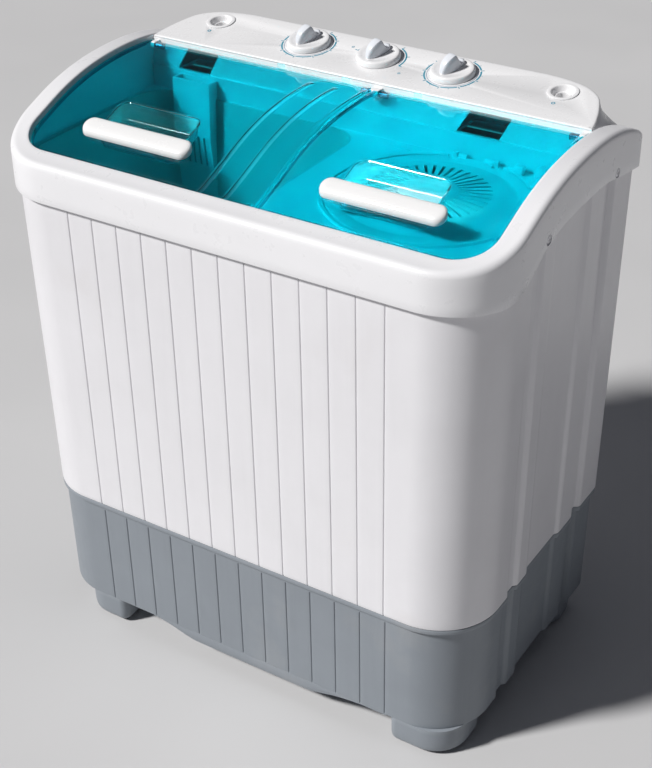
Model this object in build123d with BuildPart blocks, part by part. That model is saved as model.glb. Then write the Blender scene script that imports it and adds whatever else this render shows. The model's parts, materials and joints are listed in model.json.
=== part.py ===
from build123d import *
import os
import math

# Twin tub washer: a portable two-tub washing machine with a wash tub on the
# left and a spin tub on the right, seen from the front.
# Millimetres. +Z up, +Y to the rear, +X to the right of a person in front.
# Origin: bottom centre of the whole machine.

os.makedirs("parts", exist_ok=True)

# ---------------------------------------------------------------- dimensions
WALL = 3.0                    # cabinet wall
FRAME_HW = 295.0              # top frame half width
FRAME_Y = 173.6               # top frame half depth
FRAME_RF = 76.0               # front corner radius of the top frame
RAIL_IN = 271.3               # inner edge of the side rails
OPEN_YF = -147.5              # front edge of the lid opening
OPEN_R = 40.0                 # front corner radius of the lid opening
Z_SPLIT = 180.2               # white cabinet above, grey base below
Z_SKIRT = 35.3                # lower edge of the grey base
SETBACK = 4.0                 # base stands in behind the cabinet
GROOVE_PITCH = 31.35
GROOVE_N = 13
GROOVE_W = 1.3
GROOVE_D = 1.0
DECK_Z = 590.0                # top of the tub deck
DECK_T = 4.0
SHELF_Z = 615.0               # shelf under the control panel
PANEL_Y = 91.3                # front edge of the control panel
PANEL_Z = 648.9
PANEL_TILT = 10.0
PANEL_T = 2.5
KNOB_X = (-89.0, 0.0, 90.0)
KNOB_U = 47.0
INLET_X = 213.0
INLET_U = 54.5
LID_DROP = 6.0                # lids lie this far below the rails
LID_T = 2.5
LID_SPLIT = 27.5
LID_YF = -145.5
LID_YR = 86.0
HINGE_Y = 84.0
HINGE_Z = 640.0
HINGE_PIN_R = 2.0
GRIP_X = 145.0
GRIP_Y = -101.0
SPIN_C = (150.0, -20.0)       # spin tub axis
SPIN_TUB_R = 96.2
BASKET_R = 88.0
WASH_C = (-128.0, -27.0)      # pulsator axis
WMOT_C = (-15.0, -27.0)       # wash motor axis
TUB_FLOOR = 240.0
BIG_PULLEY_R = 55.0
SMALL_PULLEY_R = 20.0
PULLEY_Z = 150.0

sn = math.sin(math.radians(PANEL_TILT))
cs = math.cos(math.radians(PANEL_TILT))

# height of the rails along the depth of the machine
RAIL = [(-173.6, 600.5), (-164, 601.5), (-148, 604.8), (-132, 609.5), (-116, 615.4),
        (-100, 621.7), (-84, 628.2), (-68, 634.3), (-52, 639.4), (-36, 643.5),
        (-20, 646.7), (-4, 649.0), (12, 650.6), (28, 651.6), (44, 652.0),
        (60, 651.8), (76, 650.9), (92, 649.1), (108, 646.4), (124, 642.6),
        (140, 637.6), (156, 631.1), (173.6, 622.2)]
# lower edge of the top frame along the depth
SKIRT = [(173.6, 586.5), (140, 591.5), (108, 597.0), (72, 602.5), (26, 602.0),
         (-16, 599.0), (-53, 590.5), (-81, 574.5), (-109, 561.0), (-130, 557.0)]


def hw(z):
    return 285.7 + (z - Z_SPLIT) * 3.8 / 376.8


def yf(z):
    return -164.3 - (z - Z_SPLIT) * 3.7 / 376.8


def outline(z, half, front, rear, rf, rr):
    """Plan outline with rounded front and rear corners."""
    with BuildSketch(Plane.XY.offset(z)) as s:
        with BuildLine():
            Polyline((-half, front), (half, front), (half, rear), (-half, rear), close=True)
        make_face()
        fillet(s.vertices().group_by(Axis.Y)[0], rf)
        fillet(s.vertices().group_by(Axis.Y)[-1], rr)
    return s.sketch


# moulded channels down each side of the cabinet and base: (y, depth)
CHANNELS = [(-70, 0.0), (-66, 4.0), (-52, 4.0), (-48, 0.0), (-26, 0.0), (-14, 4.5),
            (54, 4.5), (60, 1.0), (94, 1.0), (99, 7.0), (113, 7.0), (118, 1.0)]


def cabinet_outline(z, inset):
    half = hw(z) - inset
    front = yf(z) + inset
    rear = 168.4 - inset
    right = [(half - d, y) for y, d in CHANNELS]
    pts = [(-half, front), (half, front)] + right + [(half - 1.0, rear), (-half + 1.0, rear)]
    pts += [(-x, y) for x, y in reversed(right)]
    with BuildSketch(Plane.XY.offset(z)) as s:
        with BuildLine():
            Polyline(*pts, close=True)
        make_face()
        fillet(s.vertices().group_by(Axis.Y)[0], 71.5 - inset)
        fillet(s.vertices().group_by(Axis.Y)[-1], 9.0 - inset * 0.5)
    return s.sketch


def band(low, high, y0, y1, x0, x1):
    """A strip of constant section along X between two heights that follow the rails."""
    with BuildPart() as b:
        with BuildSketch(Plane.YZ.offset(x0)):
            with BuildLine():
                pts = [(y, z) for y, z in RAIL]
                Polyline(*[(y, z + low) for y, z in pts])
                Polyline(*[(y, z + high) for y, z in pts])
                Line((pts[0][0], pts[0][1] + low), (pts[0][0], pts[0][1] + high))
                Line((pts[-1][0], pts[-1][1] + low), (pts[-1][0], pts[-1][1] + high))
            make_face()
        extrude(amount=x1 - x0)
        with Locations(((x0 + x1) / 2, (y0 + y1) / 2, 620)):
            Box(x1 - x0 + 2, y1 - y0, 300, mode=Mode.INTERSECT)
    return b.part


def groove_cutter(z0, z1, front):
    with BuildPart() as g:
        for i in range(GROOVE_N):
            x = (i - (GROOVE_N - 1) / 2) * GROOVE_PITCH
            with BuildSketch(Plane.YZ.offset(x - GROOVE_W / 2)):
                with BuildLine():
                    Polyline((front(z0) - 5, z0), (front(z0) + GROOVE_D, z0),
                             (front(z1) + GROOVE_D, z1), (front(z1) - 5, z1), close=True)
                make_face()
            extrude(amount=GROOVE_W)
    return g.part


def save(part, name):
    part.label = name
    export_step(part, "parts/" + name + ".step")


panel_plane = Plane(origin=(0, PANEL_Y, PANEL_Z), x_dir=(1, 0, 0), z_dir=(0, -sn, cs))


def on_panel(x, u, n):
    """A plane parallel to the control panel, centred at x, u along it and n above it."""
    return Plane(origin=(x, PANEL_Y + u * cs - n * sn, PANEL_Z + u * sn + n * cs),
                 x_dir=(1, 0, 0), z_dir=(0, -sn, cs))


# ------------------------------------------------------------- cabinet shell
body_grooves = groove_cutter(150, 570, yf)
with BuildPart() as body_shell:
    loft(sections=[cabinet_outline(Z_SPLIT, 0), cabinet_outline(615, 0)], ruled=True)
    loft(sections=[cabinet_outline(Z_SPLIT - 1, WALL), cabinet_outline(616, WALL)], ruled=True,
         mode=Mode.SUBTRACT)
    add(body_grooves, mode=Mode.SUBTRACT)
    # the upper edge runs up inside the top frame
    with BuildSketch(Plane.YZ.offset(-320)):
        with BuildLine():
            Polyline((-190, 567), (-128, 567), (-104, 571), (-76, 585), (-48, 601), (-16, 609),
                     (26, 612), (72, 612), (108, 607), (140, 601), (160, 597), (160, 586),
                     (190, 586), (190, 700), (-190, 700), close=True)
        make_face()
    extrude(amount=640, mode=Mode.SUBTRACT)
    # service opening in the rear wall
    with Locations((0, 168, 380)):
        Box(300, 12, 300, mode=Mode.SUBTRACT)
    # cord gland opening
    with Locations((230, 168, 500)):
        Cylinder(7.0, 20, rotation=(90, 0, 0), mode=Mode.SUBTRACT)
save(body_shell.part, "body_shell")

# ----------------------------------------------------------------- grey base
base_grooves = groove_cutter(20, 168.4, lambda z: yf(z) + SETBACK)
# lower edge of the lip under the front: (x, z)
LIP = [(-130, Z_SKIRT), (-100, 28.7), (-76, 22.4), (-66, 21.5), (86, 21.3), (104, 24.8), (125, 29.9),
       (156, 33.7), (190, Z_SKIRT)]
with BuildPart() as base_shell:
    loft(sections=[cabinet_outline(Z_SKIRT, SETBACK), cabinet_outline(195, SETBACK)], ruled=True)
    loft(sections=[cabinet_outline(42, SETBACK + 3.5), cabinet_outline(196, SETBACK + 3.5)],
         ruled=True, mode=Mode.SUBTRACT)
    add(base_grooves, mode=Mode.SUBTRACT)
    # vents in the floor
    with BuildSketch(Plane.XY.offset(30)):
        with GridLocations(0, 14, 1, 5):
            SlotOverall(120, 6)
    extrude(amount=20, mode=Mode.SUBTRACT)
    # lip that hangs under the front between the feet
    with BuildSketch(Plane.XZ.offset(-(yf(Z_SKIRT) + SETBACK + 3.5))):
        with BuildLine():
            Polyline(*LIP, (190, Z_SKIRT + 2), (-130, Z_SKIRT + 2), close=True)
        make_face()
    extrude(amount=3.0)
    # drain opening in the rear wall
    with Locations((-225, 163, 110)):
        Cylinder(12.5, 20, rotation=(90, 0, 0), mode=Mode.SUBTRACT)
save(base_shell.part, "base_shell")

# ---------------------------------------------------------------------- feet
# (x0, x1, y0, y1, radius of the outer front corner, radius of the other corners, side)
FOOT = [(-240, -174, -158.6, -90, 35, 10, -1), (193, 271, -158.6, -88, 41, 10, 1),
        (-273, -207, 100, 156, 20, 20, -1), (207, 273, 100, 156, 20, 20, 1)]


def foot_plan(z, inset):
    with BuildSketch(Plane.XY.offset(z)) as s:
        for x0, x1, y0, y1, rc, ro, side in FOOT:
            outer = rc - inset
            other = max(ro - inset, 2)
            a0, a1, b0, b1 = x0 + inset, x1 - inset, y0 + inset, y1 - inset
            lf, rf = (outer, other) if side < 0 else (other, outer)
            with BuildLine():
                Line((a0 + lf, b0), (a1 - rf, b0))
                RadiusArc((a1 - rf, b0), (a1, b0 + rf), -rf)
                Line((a1, b0 + rf), (a1, b1 - other))
                RadiusArc((a1, b1 - other), (a1 - other, b1), -other)
                Line((a1 - other, b1), (a0 + other, b1))
                RadiusArc((a0 + other, b1), (a0, b1 - other), -other)
                Line((a0, b1 - other), (a0, b0 + lf))
                RadiusArc((a0, b0 + lf), (a0 + lf, b0), -lf)
            make_face()
    return s.sketch


with BuildPart() as corner_feet:
    add(foot_plan(4, 0))
    extrude(amount=Z_SKIRT - 4)
save(corner_feet.part, "corner_feet")

with BuildPart() as foot_pads:
    add(foot_plan(0, 6))
    extrude(amount=4)
save(foot_pads.part, "foot_pads")

# ----------------------------------------------------------------- top frame
with BuildPart() as frame_hollow:
    with BuildSketch(Plane.XY.offset(530)) as fh:
        add(outline(530, FRAME_HW - 3, -FRAME_Y + 3, FRAME_Y - 6, FRAME_RF - 3, 9))
        with Locations((0, (OPEN_YF - 3 + 200) / 2)):
            Rectangle(2 * (RAIL_IN + 3), 200 - (OPEN_YF - 3), mode=Mode.SUBTRACT)
    extrude(amount=150)
    add(band(-80, -3, -200, 165, -300, 300), mode=Mode.INTERSECT)

with BuildPart() as top_frame:
    with BuildSketch(Plane.XY.offset(540)):
        add(outline(540, FRAME_HW, -FRAME_Y, FRAME_Y, FRAME_RF, 12))
    extrude(amount=130)
    with BuildSketch(Plane.YZ.offset(-300)):
        with BuildLine():
            Polyline(*RAIL)
            Line(RAIL[-1], SKIRT[0])
            Polyline(*SKIRT)
            Line(SKIRT[-1], (RAIL[0][0], 557.0))
            Line((RAIL[0][0], 557.0), RAIL[0])
        make_face()
    extrude(amount=600, mode=Mode.INTERSECT)
    # everything inside the skirt below the deck is open
    with BuildSketch(Plane.XY.offset(530)):
        add(outline(530, FRAME_HW - 3, -FRAME_Y + 3, FRAME_Y - 3, FRAME_RF - 3, 9))
    extrude(amount=DECK_Z - 530, mode=Mode.SUBTRACT)
    add(frame_hollow.part, mode=Mode.SUBTRACT)
    # inner wall standing on the deck
    with BuildSketch(Plane.XY.offset(DECK_Z)) as iw:
        add(outline(DECK_Z, RAIL_IN + 3, OPEN_YF - 3, 165, OPEN_R + 3, 2))
        with Locations((0, 163)):
            Rectangle(2 * RAIL_IN, 10, mode=Mode.SUBTRACT)
    extrude(amount=13)
    # lid opening
    with BuildSketch(Plane.XY.offset(530)):
        add(outline(530, RAIL_IN, OPEN_YF, 168, OPEN_R, 2))
    extrude(amount=150, mode=Mode.SUBTRACT)
    # screw recesses in the sides
    for ys, zs in ((-53, 597), (105, 603)):
        for sx in (-1, 1):
            with Locations((sx * 295, ys, zs)):
                Cylinder(5.5, 3.0, rotation=(0, 90, 0), mode=Mode.SUBTRACT)
save(top_frame.part, "top_frame")

with BuildPart() as frame_screws:
    for ys, zs in ((-53, 597), (105, 603)):
        for sx in (-1, 1):
            with Locations((sx * 294.2, ys, zs)):
                Cylinder(4.0, 1.4, rotation=(0, 90, 0))
save(frame_screws.part, "frame_screws")

# ------------------------------------------------------------------ tub deck
WASH_X0, WASH_X1, WASH_Y0, WASH_Y1 = -268.0, 12.0, -144.0, 88.0


def rect_xy(z, x0, x1, y0, y1, r):
    with BuildSketch(Plane.XY.offset(z)) as s:
        with Locations(((x0 + x1) / 2, (y0 + y1) / 2)):
            RectangleRounded(x1 - x0, y1 - y0, r)
    return s.sketch


with BuildPart() as tub_deck:
    with BuildSketch(Plane.XY.offset(DECK_Z - DECK_T)):
        add(outline(DECK_Z - DECK_T, 279, -161, 163, 60, 4))
        add(rect_xy(0, WASH_X0, WASH_X1, WASH_Y0, WASH_Y1, 37).moved(Location((0, 0, 0))), mode=Mode.SUBTRACT)
        with Locations(SPIN_C):
            Circle(99, mode=Mode.SUBTRACT)
    extrude(amount=DECK_T)
    # raised ring around the spin tub, open at the rear for the inner lid hinge
    with BuildSketch(Plane.XY.offset(DECK_Z)):
        with Locations(SPIN_C):
            Circle(107.5)
            Circle(104, mode=Mode.SUBTRACT)
        with Locations((SPIN_C[0], SPIN_C[1] + 104)):
            Rectangle(64, 40, mode=Mode.SUBTRACT)
    extrude(amount=3)
    # hinge posts of the inner lid
    for sx in (-1, 1):
        with Locations((SPIN_C[0] + sx * 23.5, 82, DECK_Z + 3.5)):
            Box(5, 6, 7)
            Cylinder(1.55, 6, rotation=(0, 90, 0), mode=Mode.SUBTRACT)
save(tub_deck.part, "tub_deck")

# ---------------------------------------------------------------- rear shelf
NOTCH = ((-236, -192), (121, 170))
with BuildPart() as rear_shelf:
    with Locations((0, (88 + 163) / 2, SHELF_Z - 1.5)):
        Box(541, 75, 3)
    with Locations((0, 89.25, (DECK_Z + SHELF_Z - 3) / 2)):
        Box(541, 2.5, SHELF_Z - 3 - DECK_Z)
    for x0, x1 in NOTCH:
        with Locations(((x0 + x1) / 2, 111, SHELF_Z)):
            Box(x1 - x0, 36, 20, mode=Mode.SUBTRACT)
save(rear_shelf.part, "rear_shelf")

# ------------------------------------------------------------------ wash tub
with BuildPart() as wash_tub:
    loft(sections=[rect_xy(TUB_FLOOR, -250, -4, -124, 70, 38),
                   rect_xy(DECK_Z, WASH_X0 + 0.3, WASH_X1 - 0.3, WASH_Y0 + 0.3, WASH_Y1 - 0.3, 36.7)],
         ruled=True)
    with BuildSketch(Plane.XY.offset(583)):
        with Locations(((WASH_X0 + WASH_X1) / 2, (WASH_Y0 + WASH_Y1) / 2)):
            RectangleRounded(WASH_X1 - WASH_X0 + 10, WASH_Y1 - WASH_Y0 + 10, 40)
    extrude(amount=2.8)
    loft(sections=[rect_xy(TUB_FLOOR + 3, -247.2, -6.8, -121.2, 67.2, 35.5),
                   rect_xy(DECK_Z + 1, WASH_X0 + 2.8, WASH_X1 - 2.8, WASH_Y0 + 2.8, WASH_Y1 - 2.8, 34.2)],
         ruled=True, mode=Mode.SUBTRACT)
    # well for the pulsator
    with Locations((WASH_C[0], WASH_C[1], TUB_FLOOR + 1)):
        Cylinder(15.3, 12, mode=Mode.SUBTRACT)
    # drain outlet through the rear wall
    with Locations((-225, 72, 262)):
        Cylinder(12, 30, rotation=(90, 0, 0), mode=Mode.SUBTRACT)
save(wash_tub.part, "wash_tub")

with BuildPart() as overflow_cover:
    with BuildSketch(Plane.YZ.offset(-230.5)):
        with BuildLine():
            Polyline((87.6, 611.6), (72, 611.6), (70, 545), (78.0, 470), (84.4, 589.2),
                     (84.4, 590.3), (87.6, 590.3), close=True)
        make_face()
    extrude(amount=50)
    with BuildSketch(Plane.YZ.offset(-227.5)):
        with BuildLine():
            Polyline((86, 620), (75, 620), (73, 545), (77.6, 500), (82.2, 589), (82.2, 592),
                     (86, 592), close=True)
        make_face()
    extrude(amount=44, mode=Mode.SUBTRACT)
    with BuildSketch(Plane.XZ.offset(-60)):
        with Locations((-205.5, 530)):
            with GridLocations(8, 0, 5, 1):
                SlotOverall(36, 3, rotation=90)
    extrude(amount=-30, mode=Mode.SUBTRACT)
save(overflow_cover.part, "overflow_cover")

# ------------------------------------------------------------------ spin tub
with BuildPart() as spin_tub:
    with BuildSketch(Plane.XZ.offset(-SPIN_C[1])):
        with BuildLine():
            Polyline((SPIN_C[0] + 30, TUB_FLOOR), (SPIN_C[0] + 98.7, TUB_FLOOR),
                     (SPIN_C[0] + 98.7, DECK_Z), (SPIN_C[0] + SPIN_TUB_R, DECK_Z),
                     (SPIN_C[0] + SPIN_TUB_R, TUB_FLOOR + 3), (SPIN_C[0] + 30, TUB_FLOOR + 3), close=True)
        make_face()
    revolve(axis=Axis((SPIN_C[0], SPIN_C[1], 0), (0, 0, 1)))
    with BuildSketch(Plane.XY.offset(583)):
        with Locations(SPIN_C):
            Circle(105)
            Circle(98, mode=Mode.SUBTRACT)
    extrude(amount=2.8)
save(spin_tub.part, "spin_tub")


def rev(points, c):
    """Solid of revolution about a vertical axis through c, points as (radius, height)."""
    with BuildPart() as r:
        with BuildSketch(Plane.XZ.offset(-c[1])):
            with BuildLine():
                Polyline(*[(c[0] + a, b) for a, b in points], close=True)
            make_face()
        revolve(axis=Axis((c[0], c[1], 0), (0, 0, 1)))
    return r.part


with BuildPart() as spin_tub_bellows:
    add(rev([(8.6, 240), (8.6, 252), (16, 252), (22, 246), (28, 252), (34, 247), (34, 243.2),
             (26, 243.2), (26, 236), (12, 236)], SPIN_C))
save(spin_tub_bellows.part, "spin_tub_bellows")

# ---------------------------------------------------------- control panel
PANEL_HALF = [(269.0, 0.0), (253.5, 55.0), (236.0, 70.5), (214.0, 78.0), (183.0, 82.5)]


def panel_outline(n, inset):
    pts = [(269.0 - inset, inset), (253.5 - inset, 55.0 - inset * 0.3), (236.0 - inset * 0.8, 70.5 - inset * 0.7),
           (214.0 - inset * 0.6, 78.0 - inset * 0.9), (183.0 - inset * 0.3, 82.5 - inset)]
    allp = pts + [(-x, u) for x, u in reversed(pts)]
    with BuildSketch(on_panel(0, 0, n)) as s:
        with BuildLine():
            Polyline(*allp, close=True)
        make_face()
    return s.sketch


def housing_outline(z, slope, inset):
    h = 271.0 - inset
    y0 = PANEL_Y + inset
    y1 = 166.8 - inset
    pl = Plane(origin=(0, PANEL_Y, z), x_dir=(1, 0, 0), z_dir=(0, slope, 1))
    k = math.sqrt(1 + slope * slope)
    pts = [(h, y0), (h, 140.0), (h, 156.0), (h, y1 - 4), (h - 6, y1)]
    pts = [(x, (y - PANEL_Y) * k) for x, y in pts]
    allp = pts + [(-x, u) for x, u in reversed(pts)]
    with BuildSketch(pl) as s:
        with BuildLine():
            Polyline(*allp, close=True)
        make_face()
    return s.sketch


with BuildPart() as control_panel_housing:
    loft(sections=[housing_outline(SHELF_Z, 0, 0), housing_outline(641, 0.26, 0),
                   panel_outline(-PANEL_T, 0)], ruled=True)
    loft(sections=[housing_outline(SHELF_Z - 1, 0, 2.5), housing_outline(641, 0.26, 2.5),
                   panel_outline(-PANEL_T + 0.5, 2.5)], ruled=True, mode=Mode.SUBTRACT)
    # slanted openings over the two water ways
    for x0, x1 in NOTCH:
        with BuildSketch(Plane.XZ.offset(-84)):
            with BuildLine():
                Polyline((x0, 606), (x1, 606), (x1, 615.5), (x1 + 13, 640), (x0 + 15, 640), (x0, 615.5),
                         close=True)
            make_face()
        extrude(amount=-13, mode=Mode.SUBTRACT)
save(control_panel_housing.part, "control_panel_housing")

with BuildPart() as control_panel_face:
    add(panel_outline(-PANEL_T, 0))
    extrude(amount=PANEL_T, dir=(0, -sn, cs))
    for kx in KNOB_X:
        with BuildSketch(on_panel(kx, KNOB_U, -10)):
            Circle(5)
        extrude(amount=20, mode=Mode.SUBTRACT)
    for sx in (-1, 1):
        with BuildSketch(on_panel(sx * INLET_X, INLET_U, -10)):
            Circle(13.5)
        extrude(amount=20, mode=Mode.SUBTRACT)
save(control_panel_face.part, "control_panel_face")

# water inlets: a dished funnel that leads the fill hose's water to the shelf
for sx, nm in ((-1, "inlet_funnel_left"), (1, "inlet_funnel_right")):
    with BuildPart() as inlet_funnel:
        with BuildSketch(on_panel(sx * INLET_X, INLET_U, -22)):
            Circle(9)
        extrude(amount=12)
        with BuildSketch(on_panel(sx * INLET_X, INLET_U, -10)):
            Circle(13)
        extrude(amount=10.1)
        with BuildSketch(on_panel(sx * INLET_X, INLET_U, 0.1)):
            Circle(16.5)
        extrude(amount=1.2)
        with BuildSketch(on_panel(sx * INLET_X, INLET_U, -8)):
            Circle(8)
        with BuildSketch(on_panel(sx * INLET_X, INLET_U, 1.5)):
            Circle(12.2)
        loft(mode=Mode.SUBTRACT)
        with BuildSketch(on_panel(sx * INLET_X, INLET_U, -24)):
            Circle(6.5)
        extrude(amount=26, mode=Mode.SUBTRACT)
    save(inlet_funnel.part, nm)

# timers and the selector switch under the panel, their shafts and knobs
TIMERS = (("wash_timer", KNOB_X[0], 46, 40, 26), ("selector_switch", KNOB_X[1], 40, 32, 20),
          ("spin_timer", KNOB_X[2], 46, 40, 26))
for nm, kx, sx, sy, dz in TIMERS:
    with BuildPart() as timer_body:
        with BuildSketch(on_panel(kx, KNOB_U, -3.0 - dz)):
            RectangleRounded(sx, sy, 3)
        extrude(amount=dz)
        with BuildSketch(on_panel(kx, KNOB_U, -3.0 - dz)):
            with GridLocations(sx - 12, 0, 2, 1):
                Rectangle(6, 2)
        extrude(amount=-4)
        with BuildSketch(on_panel(kx, KNOB_U, -20)):
            Circle(3.06)
        extrude(amount=30, mode=Mode.SUBTRACT)
    save(timer_body.part, nm)

KNOB_SET = (("wash_timer", KNOB_X[0], 35.0), ("selector", KNOB_X[1], 35.0), ("spin_timer", KNOB_X[2], 35.0))
for nm, kx, turn in KNOB_SET:
    with BuildPart() as knob_shaft:
        with BuildSketch(on_panel(kx, KNOB_U, -19.5)):
            Circle(3.0)
        extrude(amount=30)
    save(knob_shaft.part, nm + "_shaft")
    with BuildPart() as knob:
        with BuildSketch(on_panel(kx, KNOB_U, 0.5)):
            Circle(24.5)
        extrude(amount=6, taper=14)
        kp = on_panel(kx, KNOB_U, 0)
        a = math.radians(turn)
        xd = kp.x_dir * math.sin(a) + kp.y_dir * math.cos(a)
        yd = kp.x_dir * math.cos(a) - kp.y_dir * math.sin(a)
        side = Plane(origin=kp.origin - yd * 5.5, x_dir=xd, z_dir=yd)
        with BuildSketch(side):
            with BuildLine():
                up = 1.0 if side.y_dir.dot(kp.z_dir) > 0 else -1.0
                Polyline((-20, up * 5), (21, up * 5), (20, up * 14), (12, up * 21), (2, up * 19),
                         (-15, up * 9), close=True)
            make_face()
        extrude(amount=11)
        with BuildSketch(on_panel(kx, KNOB_U, -1)):
            Circle(3.02)
        extrude(amount=11.6, mode=Mode.SUBTRACT)
    save(knob.part, nm + "_knob")

# ---------------------------------------------------------------------- lids
LIDS = (("wash_lid", -270.3, LID_SPLIT - 1.0, -GRIP_X), ("spin_lid", LID_SPLIT + 1.0, 270.3, GRIP_X))
for nm, lx0, lx1, gx in LIDS:
    wash = nm == "wash_lid"

    def lid_plan(inset, z):
        with BuildSketch(Plane.XY.offset(z)) as s:
            with BuildLine():
                Polyline((lx0 + inset, LID_YF + inset), (lx1 - inset, LID_YF + inset),
                         (lx1 - inset, LID_YR), (lx0 + inset, LID_YR), close=True)
            make_face()
            fv = s.vertices().group_by(Axis.Y)[0].sort_by(Axis.X)
            outer_v = fv[0] if wash else fv[-1]
            inner_v = fv[-1] if wash else fv[0]
            fillet(outer_v, 39 - inset)
            fv = s.vertices().group_by(Axis.Y)[0].sort_by(Axis.X)
            fillet(fv[-1] if wash else fv[0], 5 - inset)
        return s.sketch

    sheet_band = band(-LID_DROP - LID_T, -LID_DROP, -150, LID_YR, lx0 - 1, lx1 + 1)
    flange_band = band(-LID_DROP - LID_T - 5, -LID_DROP - 0.5, -150, 79, lx0 - 1, lx1 + 1)
    pocket_band = band(-LID_DROP - 18, -LID_DROP - 0.2, -106, -49, gx - 54, gx + 54)
    pocket_hole = band(-LID_DROP - 16, 30, -104, -51, gx - 52, gx + 52)
    with BuildPart() as lid_flange:
        with BuildSketch(Plane.XY.offset(560)):
            add(lid_plan(0, 560))
            add(lid_plan(2.2, 560), mode=Mode.SUBTRACT)
        extrude(amount=110)
        add(flange_band, mode=Mode.INTERSECT)
    with BuildPart() as lid:
        with BuildSketch(Plane.XY.offset(560)):
            add(lid_plan(0, 560))
        extrude(amount=110)
        add(sheet_band, mode=Mode.INTERSECT)
        add(lid_flange.part)
        add(pocket_band)
        if wash:
            for rx in (-38, -8):
                add(band(-LID_DROP - 0.5, -LID_DROP + 1.6, -140, 62, rx - 3, rx + 3))
        # hinge knuckles along the rear edge
        kn = ((-259.5, -250), (12, 21)) if wash else ((34, 43), (250, 259.5))
        for k0, k1 in kn:
            with Locations(((k0 + k1) / 2, HINGE_Y, HINGE_Z)):
                Cylinder(4.0, k1 - k0, rotation=(0, 90, 0))
            with Locations(((k0 + k1) / 2, HINGE_Y - 1, HINGE_Z + 2)):
                Box(k1 - k0, 5, 2.5)
        # notches around the hinge brackets
        nt = ((-271, -259.8), (21.3, 27.5)) if wash else ((27.5, 33.7), (259.8, 271))
        for n0, n1 in nt:
            with Locations(((n0 + n1) / 2, 84, 640)):
                Box(n1 - n0, 14, 30, mode=Mode.SUBTRACT)
        for k0, k1 in kn:
            with Locations(((k0 + k1) / 2, HINGE_Y, HINGE_Z)):
                Cylinder(HINGE_PIN_R + 0.06, k1 - k0 + 2, rotation=(0, 90, 0), mode=Mode.SUBTRACT)
        add(pocket_hole, mode=Mode.SUBTRACT)
    save(lid.part, nm)

    # grip bar across the front of the finger well
    with BuildPart() as grip:
        with BuildSketch(Plane.XY.offset(560)):
            with Locations((gx, GRIP_Y)):
                SlotOverall(136, 20)
        extrude(amount=110)
        add(band(-LID_DROP + 0.08, 3.0, -115, -85, gx - 70, gx + 70), mode=Mode.INTERSECT)
    save(grip.part, nm + "_grip")

with BuildPart() as lid_hinge_brackets:
    for b0, b1 in ((-266, -260), (22, 33), (260, 266)):
        with Locations(((b0 + b1) / 2, (79.5 + PANEL_Y) / 2, 639.5)):
            Box(b1 - b0, PANEL_Y - 79.5, 11)
        with Locations(((b0 + b1) / 2, HINGE_Y, HINGE_Z)):
            Cylinder(HINGE_PIN_R + 0.02, b1 - b0 + 2, rotation=(0, 90, 0), mode=Mode.SUBTRACT)
save(lid_hinge_brackets.part, "lid_hinge_brackets")

with BuildPart() as lid_hinge_pins:
    for p0, p1 in ((-266, -250.5), (12.5, 42.5), (250.5, 266)):
        with Locations(((p0 + p1) / 2, HINGE_Y, HINGE_Z)):
            Cylinder(HINGE_PIN_R, p1 - p0, rotation=(0, 90, 0))
save(lid_hinge_pins.part, "lid_hinge_pins")

# inner lid of the spin tub: a domed disc with radial slots, hinged at the rear
INNER_HINGE = (82.0, DECK_Z + 3.5)
with BuildPart() as spin_inner_lid:
    add(rev([(0, 597.5), (66, 597.5), (84, 590), (93, 590), (93, 584), (95.7, 584), (95.7, 590),
             (103, 590), (103, 592.5), (85, 592.5), (67, 600), (0, 600)], SPIN_C))
    with Locations((SPIN_C[0], 92, 592)):
        Box(220, 20, 20, mode=Mode.SUBTRACT)
    for sx in (-1, 1):
        with Locations((SPIN_C[0] + sx * 24, 83.5, 592)):
            Box(7.2, 18, 20, mode=Mode.SUBTRACT)
    with BuildSketch(Plane.XY.offset(590)):
        with Locations(SPIN_C):
            with PolarLocations(44, 32):
                SlotOverall(34, 2.6)
    extrude(amount=20, mode=Mode.SUBTRACT)
    with BuildSketch(Plane.XY.offset(DECK_Z + 0.5)):
        with Locations((SPIN_C[0], 77)):
            Rectangle(40, 10)
    extrude(amount=2.0)
    for sx in (-1, 1):
        with Locations((SPIN_C[0] + sx * 15, INNER_HINGE[0], INNER_HINGE[1])):
            Cylinder(3.0, 10, rotation=(0, 90, 0))
    with Locations((SPIN_C[0], INNER_HINGE[0], INNER_HINGE[1])):
        Cylinder(1.56, 60, rotation=(0, 90, 0), mode=Mode.SUBTRACT)
save(spin_inner_lid.part, "spin_inner_lid")

with BuildPart() as inner_lid_pins:
    for sx in (-1, 1):
        with Locations((SPIN_C[0] + sx * 18.5, INNER_HINGE[0], INNER_HINGE[1])):
            Cylinder(1.5, 15, rotation=(0, 90, 0))
save(inner_lid_pins.part, "inner_lid_pins")

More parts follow.
